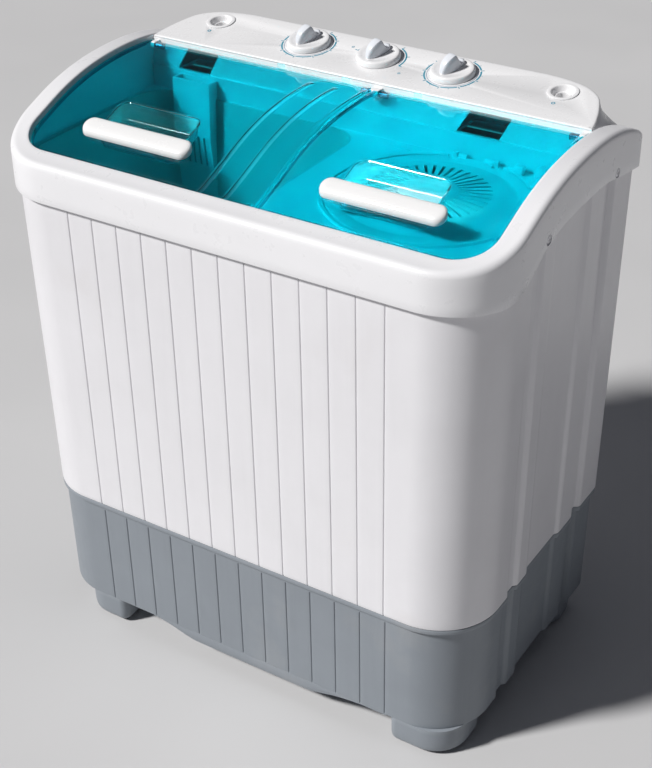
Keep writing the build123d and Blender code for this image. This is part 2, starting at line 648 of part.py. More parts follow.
# ---------------------------------------------------------------- spin drive
with BuildPart() as spin_basket:
    add(rev([(8.02, 258), (20, 258), (24, 262), (BASKET_R - 4, 262), (BASKET_R, 266), (BASKET_R, 556),
             (BASKET_R - 8, 560), (BASKET_R - 8, 558.2), (BASKET_R - 1.8, 555), (BASKET_R - 1.8, 267),
             (BASKET_R - 5, 264), (23, 264), (19, 276), (8.02, 276)], SPIN_C))
    for row in range(6):
        with BuildSketch(Plane.XZ.offset(-SPIN_C[1])):
            with Locations((SPIN_C[0], 300 + row * 42)):
                Circle(3)
        extrude(amount=120, both=True, mode=Mode.SUBTRACT)
        with BuildSketch(Plane.YZ.offset(SPIN_C[0])):
            with Locations((SPIN_C[1], 300 + row * 42)):
                Circle(3)
        extrude(amount=120, both=True, mode=Mode.SUBTRACT)
        with BuildSketch(Plane(origin=(SPIN_C[0], SPIN_C[1], 321 + row * 42 - 42 * (row == 5)),
                               x_dir=(0.70710678, 0.70710678, 0), z_dir=(0.70710678, -0.70710678, 0))):
            Circle(3)
        extrude(amount=120, both=True, mode=Mode.SUBTRACT)
        with BuildSketch(Plane(origin=(SPIN_C[0], SPIN_C[1], 321 + row * 42 - 42 * (row == 5)),
                               x_dir=(0.70710678, -0.70710678, 0), z_dir=(0.70710678, 0.70710678, 0))):
            Circle(3)
        extrude(amount=120, both=True, mode=Mode.SUBTRACT)
save(spin_basket.part, "spin_basket")

with BuildPart() as spin_shaft:
    with Locations((SPIN_C[0], SPIN_C[1], 222)):
        Cylinder(8.0, 104)
save(spin_shaft.part, "spin_shaft")

with BuildPart() as brake_drum:
    add(rev([(8.02, 198), (16, 198), (16, 212), (36, 212), (36, 206), (40, 206), (40, 228), (36, 228),
             (36, 218), (16, 218), (16, 230), (8.02, 230)], SPIN_C))
save(brake_drum.part, "brake_drum")

with BuildPart() as spin_motor:
    add(rev([(8.06, 150), (8.06, 192), (22, 192), (22, 186), (58, 186), (62, 180), (62, 92), (58, 86),
             (0, 86), (0, 150)], SPIN_C))
    with BuildSketch(Plane.XY.offset(134)):
        with Locations(SPIN_C):
            with PolarLocations(68, 3, start_angle=30):
                Rectangle(24, 22)
    extrude(amount=4)
save(spin_motor.part, "spin_motor")

with BuildPart() as spin_motor_mounts:
    with Locations(SPIN_C):
        with PolarLocations(70, 3, start_angle=30):
            Cylinder(7, 92, align=(Align.CENTER, Align.CENTER, Align.MIN), mode=Mode.ADD)
spin_mounts_raised = spin_motor_mounts.part.moved(Location((0, 0, 42)))
with BuildPart() as spin_motor_mounts_placed:
    add(spin_mounts_raised)
save(spin_motor_mounts_placed.part, "spin_motor_mounts")

# brake lever: a shoe beside the drum on a pivot post
BRAKE_P = (SPIN_C[0] + 52, SPIN_C[1] + 46)
with BuildPart() as brake_bracket:
    with Locations((BRAKE_P[0], BRAKE_P[1], (186 + 232) / 2)):
        Cylinder(4.0, 232 - 186)
    with Locations((BRAKE_P[0] - 20, BRAKE_P[1] - 16, 187.5)):
        Box(50, 40, 3)
    with Locations((SPIN_C[0], SPIN_C[1], 187.8)):
        Cylinder(23, 10, mode=Mode.SUBTRACT)
save(brake_bracket.part, "brake_bracket")

with BuildPart() as brake_lever:
    with BuildSketch(Plane.XY.offset(208)):
        with Locations(BRAKE_P):
            Circle(9)
        with BuildLine():
            Polyline((BRAKE_P[0] - 9, BRAKE_P[1] + 2), (BRAKE_P[0] - 9, BRAKE_P[1] - 30),
                     (BRAKE_P[0] - 4.5, BRAKE_P[1] - 46), (BRAKE_P[0] + 4, BRAKE_P[1] - 46),
                     (BRAKE_P[0] + 6, BRAKE_P[1]), close=True)
        make_face()
        with BuildLine():
            Polyline((BRAKE_P[0] - 6, BRAKE_P[1] - 2), (BRAKE_P[0] + 6, BRAKE_P[1] - 2),
                     (BRAKE_P[0] + 4, BRAKE_P[1] + 38), (BRAKE_P[0] - 4, BRAKE_P[1] + 38), close=True)
        make_face()
        with Locations(SPIN_C):
            Circle(40.8, mode=Mode.SUBTRACT)
    extrude(amount=14)
    with Locations((BRAKE_P[0], BRAKE_P[1], 215)):
        Cylinder(4.06, 20, mode=Mode.SUBTRACT)
save(brake_lever.part, "brake_lever")

# ---------------------------------------------------------------- wash drive
with BuildPart() as pulsator:
    add(rev([(7.02, 246), (80, 246), (82, 249), (82, 252), (60, 255), (26, 262), (16, 270), (0, 271),
             (0, 266), (7.02, 266)], WASH_C))
    with BuildSketch(Plane.XY.offset(251)):
        with Locations(WASH_C):
            with PolarLocations(46, 6):
                SlotOverall(56, 9)
    extrude(amount=13, taper=8)
save(pulsator.part, "pulsator")

with BuildPart() as pulsator_shaft:
    with Locations((WASH_C[0], WASH_C[1], (146 + 265.5) / 2)):
        Cylinder(7.0, 265.5 - 146)
save(pulsator_shaft.part, "pulsator_shaft")

with BuildPart() as wash_bearing_housing:
    add(rev([(7.06, 178), (18, 178), (22, 190), (44, 200), (44, 239.5), (15, 239.5), (15, 244.5),
             (7.06, 244.5)], WASH_C))
save(wash_bearing_housing.part, "wash_bearing_housing")

with BuildPart() as drive_pulley:
    add(rev([(7.02, 146), (14, 146), (14, 151), (48, 151), (BIG_PULLEY_R + 3, 148.5), (BIG_PULLEY_R + 3, 150.5),
             (BIG_PULLEY_R, 152.5), (BIG_PULLEY_R, 161.5), (BIG_PULLEY_R + 3, 163.5),
             (BIG_PULLEY_R + 3, 165.5), (48, 163), (48, 158), (14, 158), (14, 168), (7.02, 168)], WASH_C))
save(drive_pulley.part, "drive_pulley")

with BuildPart() as motor_pulley:
    add(rev([(5.02, 146), (SMALL_PULLEY_R + 3, 146), (SMALL_PULLEY_R + 3, 150.5), (SMALL_PULLEY_R, 152.5),
             (SMALL_PULLEY_R, 161.5), (SMALL_PULLEY_R + 3, 163.5), (SMALL_PULLEY_R + 3, 168), (5.02, 168)], WMOT_C))
save(motor_pulley.part, "motor_pulley")

with BuildPart() as wash_motor_shaft:
    with Locations((WMOT_C[0], WMOT_C[1], (120 + 170) / 2)):
        Cylinder(5.0, 50)
save(wash_motor_shaft.part, "wash_motor_shaft")

with BuildPart() as wash_motor:
    add(rev([(5.06, 118), (5.06, 143), (14, 143), (14, 139), (44, 139), (48, 134), (48, 66), (44, 61),
             (0, 61), (0, 118)], WMOT_C))
save(wash_motor.part, "wash_motor")

with BuildPart() as wash_motor_bracket:
    with BuildSketch(Plane.XY.offset(57.5)):
        with Locations(WMOT_C):
            RectangleRounded(112, 112, 10)
    extrude(amount=3.2)
    with Locations((WMOT_C[0], WMOT_C[1], (42 + 57.5) / 2)):
        with GridLocations(96, 96, 2, 2):
            Cylinder(6, 57.5 - 42)
save(wash_motor_bracket.part, "wash_motor_bracket")

# V belt around the two pulleys
bd = WMOT_C[0] - WASH_C[0]
b_big = BIG_PULLEY_R + 0.35
b_small = SMALL_PULLEY_R + 0.35
b_alpha = math.acos((b_big - b_small) / bd)


def belt_face(extra):
    r1 = b_big + extra
    r2 = b_small + extra
    c1 = WASH_C
    c2 = WMOT_C
    p1 = (c1[0] + r1 * math.cos(b_alpha), c1[1] + r1 * math.sin(b_alpha))
    p2 = (c2[0] + r2 * math.cos(b_alpha), c2[1] + r2 * math.sin(b_alpha))
    q1 = (p1[0], 2 * c1[1] - p1[1])
    q2 = (p2[0], 2 * c2[1] - p2[1])
    with BuildSketch(Plane.XY.offset(153)) as s:
        with BuildLine():
            Line(p1, p2)
            ThreePointArc(p2, (c2[0] + r2, c2[1]), q2)
            Line(q2, q1)
            ThreePointArc(q1, (c1[0] - r1, c1[1]), p1)
        make_face()
    return s.sketch


with BuildPart() as drive_belt:
    with BuildSketch(Plane.XY.offset(153)):
        add(belt_face(4.5))
        add(belt_face(0), mode=Mode.SUBTRACT)
    extrude(amount=8)
save(drive_belt.part, "drive_belt")

# --------------------------------------------------------------- electrics
with BuildPart() as capacitor:
    with Locations((-215, -70, 42)):
        Cylinder(20, 72, align=(Align.CENTER, Align.CENTER, Align.MIN))
    with Locations((-215, -70, 114)):
        with GridLocations(14, 0, 2, 1):
            Box(6, 1.2, 9, align=(Align.CENTER, Align.CENTER, Align.MIN))
save(capacitor.part, "capacitor")

# -------------------------------------------------------------------- drain
VALVE_C = (-225.0, 112.0)
with BuildPart() as drain_valve_body:
    add(rev([(24, 196), (24, 280), (5.06, 280), (5.06, 276), (21, 276), (21, 214), (11, 214), (11, 196)], VALVE_C))
    # inlet from the wash tub
    with BuildSketch(Plane.XZ.offset(-93)):
        with Locations((VALVE_C[0], 262)):
            Circle(11.7)
    extrude(amount=24.6)
    with BuildSketch(Plane.XZ.offset(-100)):
        with Locations((VALVE_C[0], 262)):
            Circle(9)
    extrude(amount=40, mode=Mode.SUBTRACT)
save(drain_valve_body.part, "drain_valve_body")

with BuildPart() as drain_plunger:
    with Locations((VALVE_C[0], VALVE_C[1], 214.1)):
        Cylinder(15, 8, align=(Align.CENTER, Align.CENTER, Align.MIN))
        Cylinder(5.0, 350, align=(Align.CENTER, Align.CENTER, Align.MIN))
save(drain_plunger.part, "drain_plunger")

with BuildPart() as drain_hose:
    with BuildLine() as hose_path:
        FilletPolyline((VALVE_C[0], VALVE_C[1], 195.8), (VALVE_C[0], VALVE_C[1], 110),
                       (VALVE_C[0], 152, 110), radius=28)
    with BuildSketch(Plane(origin=(VALVE_C[0], VALVE_C[1], 195.8), x_dir=(1, 0, 0), z_dir=(0, 0, -1))):
        Circle(13)
        Circle(10.5, mode=Mode.SUBTRACT)
    sweep()
save(drain_hose.part, "drain_hose")

with BuildPart() as drain_spigot:
    with BuildSketch(Plane.XZ.offset(-152.2)):
        with Locations((VALVE_C[0], 110)):
            Circle(12)
            Circle(9, mode=Mode.SUBTRACT)
    extrude(amount=-21)
    with BuildSketch(Plane.XZ.offset(-165.2)):
        with Locations((VALVE_C[0], 110)):
            Circle(16)
            Circle(11.5, mode=Mode.SUBTRACT)
    extrude(amount=-2)
save(drain_spigot.part, "drain_spigot")

# -------------------------------------------------------------- rear pieces
with BuildPart() as rear_cover:
    with BuildSketch(Plane.XZ.offset(-168.6)):
        with Locations((0, 380)):
            RectangleRounded(324, 324, 10)
    extrude(amount=-2)
    with BuildSketch(Plane.XZ.offset(-165.8)):
        with Locations((0, 380)):
            RectangleRounded(296, 296, 6)
            RectangleRounded(290, 290, 4, mode=Mode.SUBTRACT)
    extrude(amount=-3)
    with BuildSketch(Plane.XZ.offset(-160)):
        with Locations((0, 300)):
            with GridLocations(0, 12, 1, 8):
                SlotOverall(180, 5)
    extrude(amount=-20, mode=Mode.SUBTRACT)
    with BuildSketch(Plane.XZ.offset(-160)):
        with Locations((0, 380)):
            with GridLocations(308, 308, 2, 2):
                Circle(2.3)
    extrude(amount=-20, mode=Mode.SUBTRACT)
save(rear_cover.part, "rear_cover")

with BuildPart() as rear_cover_screws:
    with BuildSketch(Plane.XZ.offset(-170.65)):
        with Locations((0, 380)):
            with GridLocations(308, 308, 2, 2):
                Circle(4.2)
    extrude(amount=-2)
    with BuildSketch(Plane.XZ.offset(-168.7)):
        with Locations((0, 380)):
            with GridLocations(308, 308, 2, 2):
                Circle(2.0)
    extrude(amount=-3)
save(rear_cover_screws.part, "rear_cover_screws")

with BuildPart() as cord_gland:
    with BuildSketch(Plane.XZ.offset(-164)):
        with Locations((230, 500)):
            Circle(6.7)
    extrude(amount=-4.6)
    with BuildSketch(Plane.XZ.offset(-168.6)):
        with Locations((230, 500)):
            Circle(11)
    extrude(amount=-4.5)
    with BuildSketch(Plane.XZ.offset(-150)):
        with Locations((230, 500)):
            Circle(4.0)
    extrude(amount=-40, mode=Mode.SUBTRACT)
save(cord_gland.part, "cord_gland")
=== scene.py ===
import bpy, bmesh, math, json
import numpy as np
from mathutils import Vector, Matrix, noise


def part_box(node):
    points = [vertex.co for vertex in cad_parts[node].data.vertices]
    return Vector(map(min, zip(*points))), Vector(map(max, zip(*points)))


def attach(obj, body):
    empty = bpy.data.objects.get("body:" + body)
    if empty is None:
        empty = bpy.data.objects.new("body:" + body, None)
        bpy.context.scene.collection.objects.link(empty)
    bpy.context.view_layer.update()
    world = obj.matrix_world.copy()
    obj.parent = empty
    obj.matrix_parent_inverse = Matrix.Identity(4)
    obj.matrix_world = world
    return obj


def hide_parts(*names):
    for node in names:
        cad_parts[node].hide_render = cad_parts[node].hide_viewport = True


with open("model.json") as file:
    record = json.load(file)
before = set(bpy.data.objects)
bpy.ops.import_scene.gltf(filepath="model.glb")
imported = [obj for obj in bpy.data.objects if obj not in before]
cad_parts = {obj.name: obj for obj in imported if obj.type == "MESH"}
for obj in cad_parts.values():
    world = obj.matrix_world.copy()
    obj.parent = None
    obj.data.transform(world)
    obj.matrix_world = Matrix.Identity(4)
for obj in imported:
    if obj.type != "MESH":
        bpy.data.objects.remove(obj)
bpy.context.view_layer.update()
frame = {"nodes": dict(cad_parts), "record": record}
S = 0.001                                   # the lengths below are millimetres
N = frame["nodes"]


def bx(node):
    a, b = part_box(node)
    return [v / S for v in a], [v / S for v in b]


# ------------------------------------------------------------ frame anchors
FR0, FR1 = bx("top_frame")
LW0, LW1 = bx("wash_lid")
LS0, LS1 = bx("spin_lid")
PF0, PF1 = bx("control_panel_face")
BS0, BS1 = bx("body_shell")
GS0, GS1 = bx("base_shell")
DK0, DK1 = bx("tub_deck")
HW, YF, YR = FR1[0], FR0[1], FR1[1]
RIN, OYF, OYR = 271.3, -147.5, 168.0
TILT = math.radians(10)
CS, SN = math.cos(TILT), math.sin(TILT)
PY, PZ = PF0[1], 648.9
PY = 91.3
RAIL = [(-173.6, 600.5), (-164, 601.5), (-148, 604.8), (-132, 609.5), (-116, 615.4),
        (-100, 621.7), (-84, 628.2), (-68, 634.3), (-52, 639.4), (-36, 643.5),
        (-20, 646.7), (-4, 649.0), (12, 650.6), (28, 651.6), (44, 652.0),
        (60, 651.8), (76, 650.9), (92, 649.1), (108, 646.4), (124, 642.6),
        (140, 637.6), (156, 631.1), (173.6, 622.2)]
SKIRT = [(-175, 557.0), (-130, 557.0), (-109, 561.0), (-81, 574.5), (-53, 590.5), (-16, 599.0),
         (26, 602.0), (72, 602.5), (108, 597.0), (140, 591.5), (175, 586.5)]


def hermite(points):
    """A smooth curve through the points, with no overshoot."""
    x = np.array([p[0] for p in points], float)
    y = np.array([p[1] for p in points], float)
    h = np.diff(x)
    s = np.diff(y) / h
    m = np.zeros(len(x))
    m[0], m[-1] = s[0], s[-1]
    for i in range(1, len(x) - 1):
        m[i] = 0.0 if s[i - 1] * s[i] <= 0 else 2 * s[i - 1] * s[i] / (s[i - 1] + s[i])

    def f(v):
        v = np.clip(np.asarray(v, float), x[0], x[-1])
        i = np.clip(np.searchsorted(x, v) - 1, 0, len(h) - 1)
        t = (v - x[i]) / h[i]
        return ((2 * t**3 - 3 * t**2 + 1) * y[i] + (t**3 - 2 * t**2 + t) * h[i] * m[i]
                + (-2 * t**3 + 3 * t**2) * y[i + 1] + (t**3 - t**2) * h[i] * m[i + 1])
    return f


P = hermite(RAIL)
SK = hermite(SKIRT)


def sm(a, b, v):
    t = np.clip((np.asarray(v, float) - a) / (b - a), 0, 1)
    return t * t * (3 - 2 * t)


# ------------------------------------------------------------- mesh helpers
def make(name, verts, faces, body, slot, mats, smooth=40, replaces=(), mat_index=None):
    me = bpy.data.meshes.new(name)
    v = np.asarray(verts, float) * S
    me.from_pydata([tuple(p) for p in v], [], [tuple(int(i) for i in f) for f in faces])
    me.validate()
    bm = bmesh.new()
    bm.from_mesh(me)
    bmesh.ops.remove_doubles(bm, verts=bm.verts, dist=1e-6)
    bmesh.ops.dissolve_degenerate(bm, dist=1e-7, edges=bm.edges)
    bmesh.ops.recalc_face_normals(bm, faces=bm.faces)
    bm.to_mesh(me)
    bm.free()
    ob = bpy.data.objects.new(name, me)
    bpy.context.scene.collection.objects.link(ob)
    for m in (mats if isinstance(mats, (list, tuple)) else [mats]):
        me.materials.append(m)
    if smooth:
        shade(ob, smooth)
    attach(ob, body)
    if replaces:
        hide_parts(*replaces)
    return ob


def shade(ob, angle):
    me = ob.data
    for p in me.polygons:
        p.use_smooth = True
    bm = bmesh.new()
    bm.from_mesh(me)
    lim = math.radians(angle)
    for e in bm.edges:
        if len(e.link_faces) == 2:
            e.smooth = e.calc_face_angle(0) < lim
        else:
            e.smooth = False
    bm.to_mesh(me)
    bm.free()


def apply_mods(ob):
    dg = bpy.context.evaluated_depsgraph_get()
    dg.update()
    me = bpy.data.meshes.new_from_object(ob.evaluated_get(dg))
    old = ob.data
    ob.modifiers.clear()
    ob.data = me
    bpy.data.meshes.remove(old)


def grid_faces(nr, nc, wrap_r=False, wrap_c=False, off=0):
    out = []
    for i in range(nr if wrap_r else nr - 1):
        for j in range(nc if wrap_c else nc - 1):
            a = i * nc + j
            b = i * nc + (j + 1) % nc
            c = ((i + 1) % nr) * nc + (j + 1) % nc
            d = ((i + 1) % nr) * nc + j
            out.append((a + off, b + off, c + off, d + off))
    return out


def loft(rings, close_ends=True, wrap=True):
    """Rings of equal length joined by quads; the end rings are capped."""
    nr, nc = len(rings), len(rings[0])
    verts = [p for r in rings for p in r]
    faces = grid_faces(nr, nc, False, wrap)
    if close_ends:
        faces.append(tuple(range(nc)))
        faces.append(tuple(reversed(range((nr - 1) * nc, nr * nc))))
    return verts, faces


def join(*parts):
    verts, faces = [], []
    for v, f in parts:
        o = len(verts)
        verts += [tuple(p) for p in v]
        faces += [tuple(i + o for i in q) for q in f]
    return verts, faces


def arc(cx, cy, r, a0, a1, n):
    return [(cx + r * math.cos(math.radians(a0 + (a1 - a0) * i / n)),
             cy + r * math.sin(math.radians(a0 + (a1 - a0) * i / n))) for i in range(n + 1)]


def seg(p, q, n):
    return [(p[0] + (q[0] - p[0]) * i / n, p[1] + (q[1] - p[1]) * i / n) for i in range(1, n)]


def plan_loop(half, yf, yr, rf, rr, nx=24, ny=40, nf=20, nb=6):
    """Closed plan outline, counterclockwise from the front left, with the same count of points each time."""
    loop = []
    loop += seg((-half + rf, yf), (half - rf, yf), nx)
    loop += arc(half - rf, yf + rf, rf, -90, 0, nf)
    loop += seg((half, yf + rf), (half, yr - rr), ny)
    loop += arc(half - rr, yr - rr, rr, 0, 90, nb)
    loop += seg((half - rr, yr), (-half + rr, yr), nx)
    loop += arc(-half + rr, yr - rr, rr, 90, 180, nb)
    loop += seg((-half, yr - rr), (-half, yf + rf), ny)
    loop += arc(-half + rf, yf + rf, rf, 180, 270, nf)
    return loop


# ---------------------------------------------------------------- materials
class Mat:
    def __init__(self, name):
        self.m = bpy.data.materials.new(name)
        self.m.use_nodes = True
        self.nt = self.m.node_tree
        self.nt.nodes.clear()
        self.out = self.nt.nodes.new("ShaderNodeOutputMaterial")
        self.p = self.nt.nodes.new("ShaderNodeBsdfPrincipled")
        self.nt.links.new(self.p.outputs[0], self.out.inputs["Surface"])
        self.tc = self.nt.nodes.new("ShaderNodeTexCoord")

    def n(self, kind, **k):
        nd = self.nt.nodes.new("ShaderNode" + kind)
        for a, b in k.items():
            setattr(nd, a, b)
        return nd

    def link(self, a, b):
        self.nt.links.new(a, b)

    def noise(self, scale, detail=3, rough=0.5, stretch=None):
        t = self.n("TexNoise")
        t.inputs["Scale"].default_value = scale
        t.inputs["Detail"].default_value = detail
        t.inputs["Roughness"].default_value = rough
        if stretch:
            mp = self.n("Mapping")
            mp.inputs["Scale"].default_value = stretch
            self.link(self.tc.outputs["Object"], mp.inputs[0])
            self.link(mp.outputs[0], t.inputs["Vector"])
        else:
            self.link(self.tc.outputs["Object"], t.inputs["Vector"])
        return t.outputs["Fac"]

    def ramp(self, src, stops):
        r = self.n("ValToRGB")
        while len(r.color_ramp.elements) < len(stops):
            r.color_ramp.elements.new(0.5)
        for e, (pos, col) in zip(r.color_ramp.elements, stops):
            e.position = pos
            e.color = (*col, 1) if len(col) == 3 else col
        self.link(src, r.inputs[0])
        return r.outputs[0]

    def mix(self, fac, a, b, blend="MIX"):
        m = self.n("MixRGB")
        m.blend_type = blend
        for v, s in ((fac, 0), (a, 1), (b, 2)):
            if isinstance(v, (int, float)):
                m.inputs[s].default_value = v
            elif isinstance(v, (tuple, list)):
                m.inputs[s].default_value = (*v, 1) if len(v) == 3 else v
            else:
                self.link(v, m.inputs[s])
        return m.outputs[0]

    def math(self, op, a, b=0.0, c=0.0):
        m = self.n("Math")
        m.operation = op
        for v, s in ((a, 0), (b, 1), (c, 2)):
            if isinstance(v, (int, float)):
                m.inputs[s].default_value = v
            else:
                self.link(v, m.inputs[s])
        return m.outputs[0]

    def bump(self, src, strength, dist, prev=None):
        b = self.n("Bump")
        b.inputs["Strength"].default_value = strength
        b.inputs["Distance"].default_value = dist
        self.link(src, b.inputs["Height"])
        if prev is not None:
            self.link(prev, b.inputs["Normal"])
        return b.outputs[0]

    def edge(self, lo, hi):
        """1 on worn convex edges, by the mesh's pointiness."""
        g = self.n("NewGeometry")
        mr = self.n("MapRange")
        mr.inputs["From Min"].default_value = lo
        mr.inputs["From Max"].default_value = hi
        self.link(g.outputs["Pointiness"], mr.inputs["Value"])
        return mr.outputs[0]


def plastic(name, base, var=0.03, rough=0.35, rvar=0.10, grain=0.10, grain_scale=900, dirt=None,
            dirt_amount=0.0, coat=0.0, spec=0.5, sss=0.0, streak=0.0, edge_light=0.0):
    m = Mat(name)
    b = np.array(base)
    big = m.noise(9, 4, 0.6)
    col = m.ramp(big, [(0.3, tuple(np.clip(b * (1 - var), 0, 1))), (0.7, tuple(np.clip(b * (1 + var * 0.6), 0, 1)))])
    if dirt is not None:
        spots = m.noise(16, 3, 0.5)
        mask = m.ramp(spots, [(0.56, (0, 0, 0)), (0.74, (1, 1, 1))])
        area = m.ramp(m.noise(4.2, 3, 0.5), [(0.42, (0, 0, 0)), (0.62, (1, 1, 1))])
        amt = m.math("MULTIPLY", m.math("MULTIPLY", mask, area), dirt_amount)
        col = m.mix(amt, col, dirt)
    if streak > 0:
        st = m.noise(14, 4, 0.6, stretch=(6, 6, 0.5))
        smask = m.ramp(st, [(0.5, (0, 0, 0)), (0.8, (1, 1, 1))])
        col = m.mix(m.math("MULTIPLY", smask, streak), col, tuple(b * 0.6))
    if edge_light > 0:
        col = m.mix(m.math("MULTIPLY", m.edge(0.53, 0.62), edge_light), col, tuple(np.clip(b * 1.5 + 0.08, 0, 1)))
    m.link(col, m.p.inputs["Base Color"])
    rn = m.noise(60, 4, 0.6)
    r = m.n("MapRange")
    r.inputs["To Min"].default_value = max(0.02, rough - rvar)
    r.inputs["To Max"].default_value = rough + rvar
    m.link(rn, r.inputs["Value"])
    m.link(r.outputs[0], m.p.inputs["Roughness"])
    fine = m.noise(grain_scale, 2, 0.5)
    n1 = m.bump(fine, grain, 0.0003)
    wav = m.noise(7, 2, 0.5)
    n2 = m.bump(wav, 0.12, 0.004, n1)
    m.link(n2, m.p.inputs["Normal"])
    m.p.inputs["Coat Weight"].default_value = coat
    m.p.inputs["Coat Roughness"].default_value = 0.12
    m.p.inputs["Specular IOR Level"].default_value = spec
    if sss:
        m.p.inputs["Subsurface Weight"].default_value = sss
        m.p.inputs["Subsurface Radius"].default_value = (0.004, 0.003, 0.003)
    return m.m


def metal(name, base, rough=0.32, var=0.12, brushed=True):
    m = Mat(name)
    b = np.array(base)
    st = m.noise(60, 4, 0.6, stretch=(1, 1, 12) if brushed else None)
    col = m.ramp(st, [(0.3, tuple(b * (1 - var))), (0.7, tuple(np.clip(b * (1 + var), 0, 1)))])
    m.link(col, m.p.inputs["Base Color"])
    m.p.inputs["Metallic"].default_value = 1.0
    r = m.n("MapRange")
    r.inputs["To Min"].default_value = rough - 0.1
    r.inputs["To Max"].default_value = rough + 0.12
    m.link(st, r.inputs["Value"])
    m.link(r.outputs[0], m.p.inputs["Roughness"])
    m.link(m.bump(st, 0.15, 0.0004), m.p.inputs["Normal"])
    return m.m


def clear(name, tint, shadow_tint, rough=0.05, ior=1.12, var=0.06, coat=0.35):
    """Clear tinted plastic that lets the lamps through."""
    m = Mat(name)
    t = np.array(tint)
    nz = m.noise(12, 3, 0.5)
    col = m.ramp(nz, [(0.35, tuple(t * (1 - var))), (0.65, tuple(np.clip(t * (1 + var), 0, 1)))])
    m.link(col, m.p.inputs["Base Color"])
    m.p.inputs["Transmission Weight"].default_value = 1.0
    m.p.inputs["IOR"].default_value = ior
    scr = m.noise(260, 5, 0.7)
    r = m.n("MapRange")
    r.inputs["To Min"].default_value = max(0.0, rough - 0.03)
    r.inputs["To Max"].default_value = rough + 0.05
    m.link(scr, r.inputs["Value"])
    m.link(r.outputs[0], m.p.inputs["Roughness"])
    m.link(m.bump(m.noise(16, 2, 0.4), 0.10, 0.002), m.p.inputs["Normal"])
    m.p.inputs["Coat Weight"].default_value = coat
    m.p.inputs["Coat Roughness"].default_value = 0.05
    lp = m.n("LightPath")
    tr = m.n("BsdfTransparent")
    tr.inputs["Color"].default_value = (*shadow_tint, 1)
    mx = m.n("MixShader")
    m.link(lp.outputs["Is Shadow Ray"], mx.inputs[0])
    m.link(m.p.outputs[0], mx.inputs[1])
    m.link(tr.outputs[0], mx.inputs[2])
    m.link(mx.outputs[0], m.out.inputs["Surface"])
    return m.m


M = {}
M["white"] = plastic("white_abs", (0.78, 0.775, 0.80), var=0.03, rough=0.36, grain=0.08,
                     dirt=(0.50, 0.44, 0.40), dirt_amount=0.09, streak=0.05)
M["frame"] = plastic("frame_abs", (0.84, 0.84, 0.86), var=0.02, rough=0.30, grain=0.06,
                     dirt=(0.6, 0.56, 0.52), dirt_amount=0.025)
M["panel"] = plastic("panel_abs", (0.86, 0.86, 0.87), var=0.015, rough=0.28, grain=0.05)
M["grip"] = plastic("grip_white", (0.88, 0.88, 0.88), var=0.015, rough=0.24, grain=0.03, coat=0.15)
M["knob"] = plastic("knob_white", (0.85, 0.85, 0.86), var=0.02, rough=0.30, grain=0.05)
# the blade is the knobs' own white plastic; this greyer, bluer copy is painted shade on its flanks
M["knob_blade"] = plastic("knob_blade_painted_shade", (0.76, 0.79, 0.84), var=0.03, rough=0.30, grain=0.05)
M["grey"] = plastic("grey_pp", (0.245, 0.272, 0.303), var=0.06, rough=0.48, grain=0.25, grain_scale=700,
                    dirt=(0.36, 0.36, 0.36), dirt_amount=0.25, streak=0.12, edge_light=0.5)
M["tub"] = plastic("tub_pp", (0.80, 0.82, 0.84), var=0.02, rough=0.32, grain=0.04)
# the wash tub is the same plastic as tub_pp; this darker grey copy is painted shade for the dim inside of the wash tub
M["tub_wash"] = plastic("tub_wash_pp", (0.56, 0.61, 0.60), var=0.03, rough=0.32, grain=0.04)
M["basket"] = plastic("basket_pp", (0.78, 0.80, 0.83), var=0.02, rough=0.30, grain=0.04)
M["dark"] = plastic("dark_pa", (0.035, 0.036, 0.04), var=0.1, rough=0.5, grain=0.2)
M["rubber"] = plastic("rubber", (0.025, 0.025, 0.027), var=0.15, rough=0.75, grain=0.35)
M["steel"] = metal("zinc_steel", (0.60, 0.60, 0.63))
M["cast"] = metal("cast_alu", (0.62, 0.62, 0.64), rough=0.45, brushed=False)
M["motor"] = plastic("motor_enamel", (0.05, 0.055, 0.06), var=0.1, rough=0.4, grain=0.2)
M["blue"] = clear("clear_blue", (0.010, 0.53, 0.615), (0.16, 0.84, 0.90), rough=0.03)
# frosted clear plastic for the finger wells and the panel's edge tabs: the rougher finish is real, the whiter tint is
# painted reflection of the sky
M["clear"] = clear("clear_frosted_painted_sheen", (0.62, 0.90, 0.94), (0.75, 0.95, 0.97), rough=0.22, coat=0.9)
# paler, rougher tint on the rib flanks and in a band round the finger wells: painted highlight lines where light
# catches the beads
M["bead"] = clear("clear_bead_painted_highlight", (0.16, 0.80, 0.92), (0.45, 0.92, 0.97), rough=0.18, coat=1.0)
M["ink"] = plastic("print_teal", (0.05, 0.30, 0.42), var=0.1, rough=0.45, grain=0.05)
# blue-grey for the thin ring just outside each knob: painted shadow round the knob's base, not print
M["ink_grey"] = plastic("painted_knob_shadow", (0.22, 0.30, 0.42), var=0.1, rough=0.45, grain=0.05)

# every carried-over CAD node gets its material here; pieces built below replace some of them
CADMAT = {"white_plastic": "white", "grey_plastic": "grey", "blue_clear_plastic": "blue", "black_rubber": "rubber",
          "steel": "steel", "motor_paint": "motor", "tub_plastic": "tub", "knob_plastic": "knob", "dark_plastic": "dark",
          "panel_plastic": "panel", "grip_plastic": "grip", "basket_plastic": "basket", "cast_housing": "cast"}
for sp in frame["record"]["subparts"]:
    ob = N.get(sp["node"])
    if ob is None:
        continue
    ob.data.materials.clear()
    # the wash tub gets the darker copy of the tub plastic: painted shade for its dim inside
    ob.data.materials.append(M["tub_wash" if sp["node"] == "wash_tub" else CADMAT[sp["material_slot"]]])

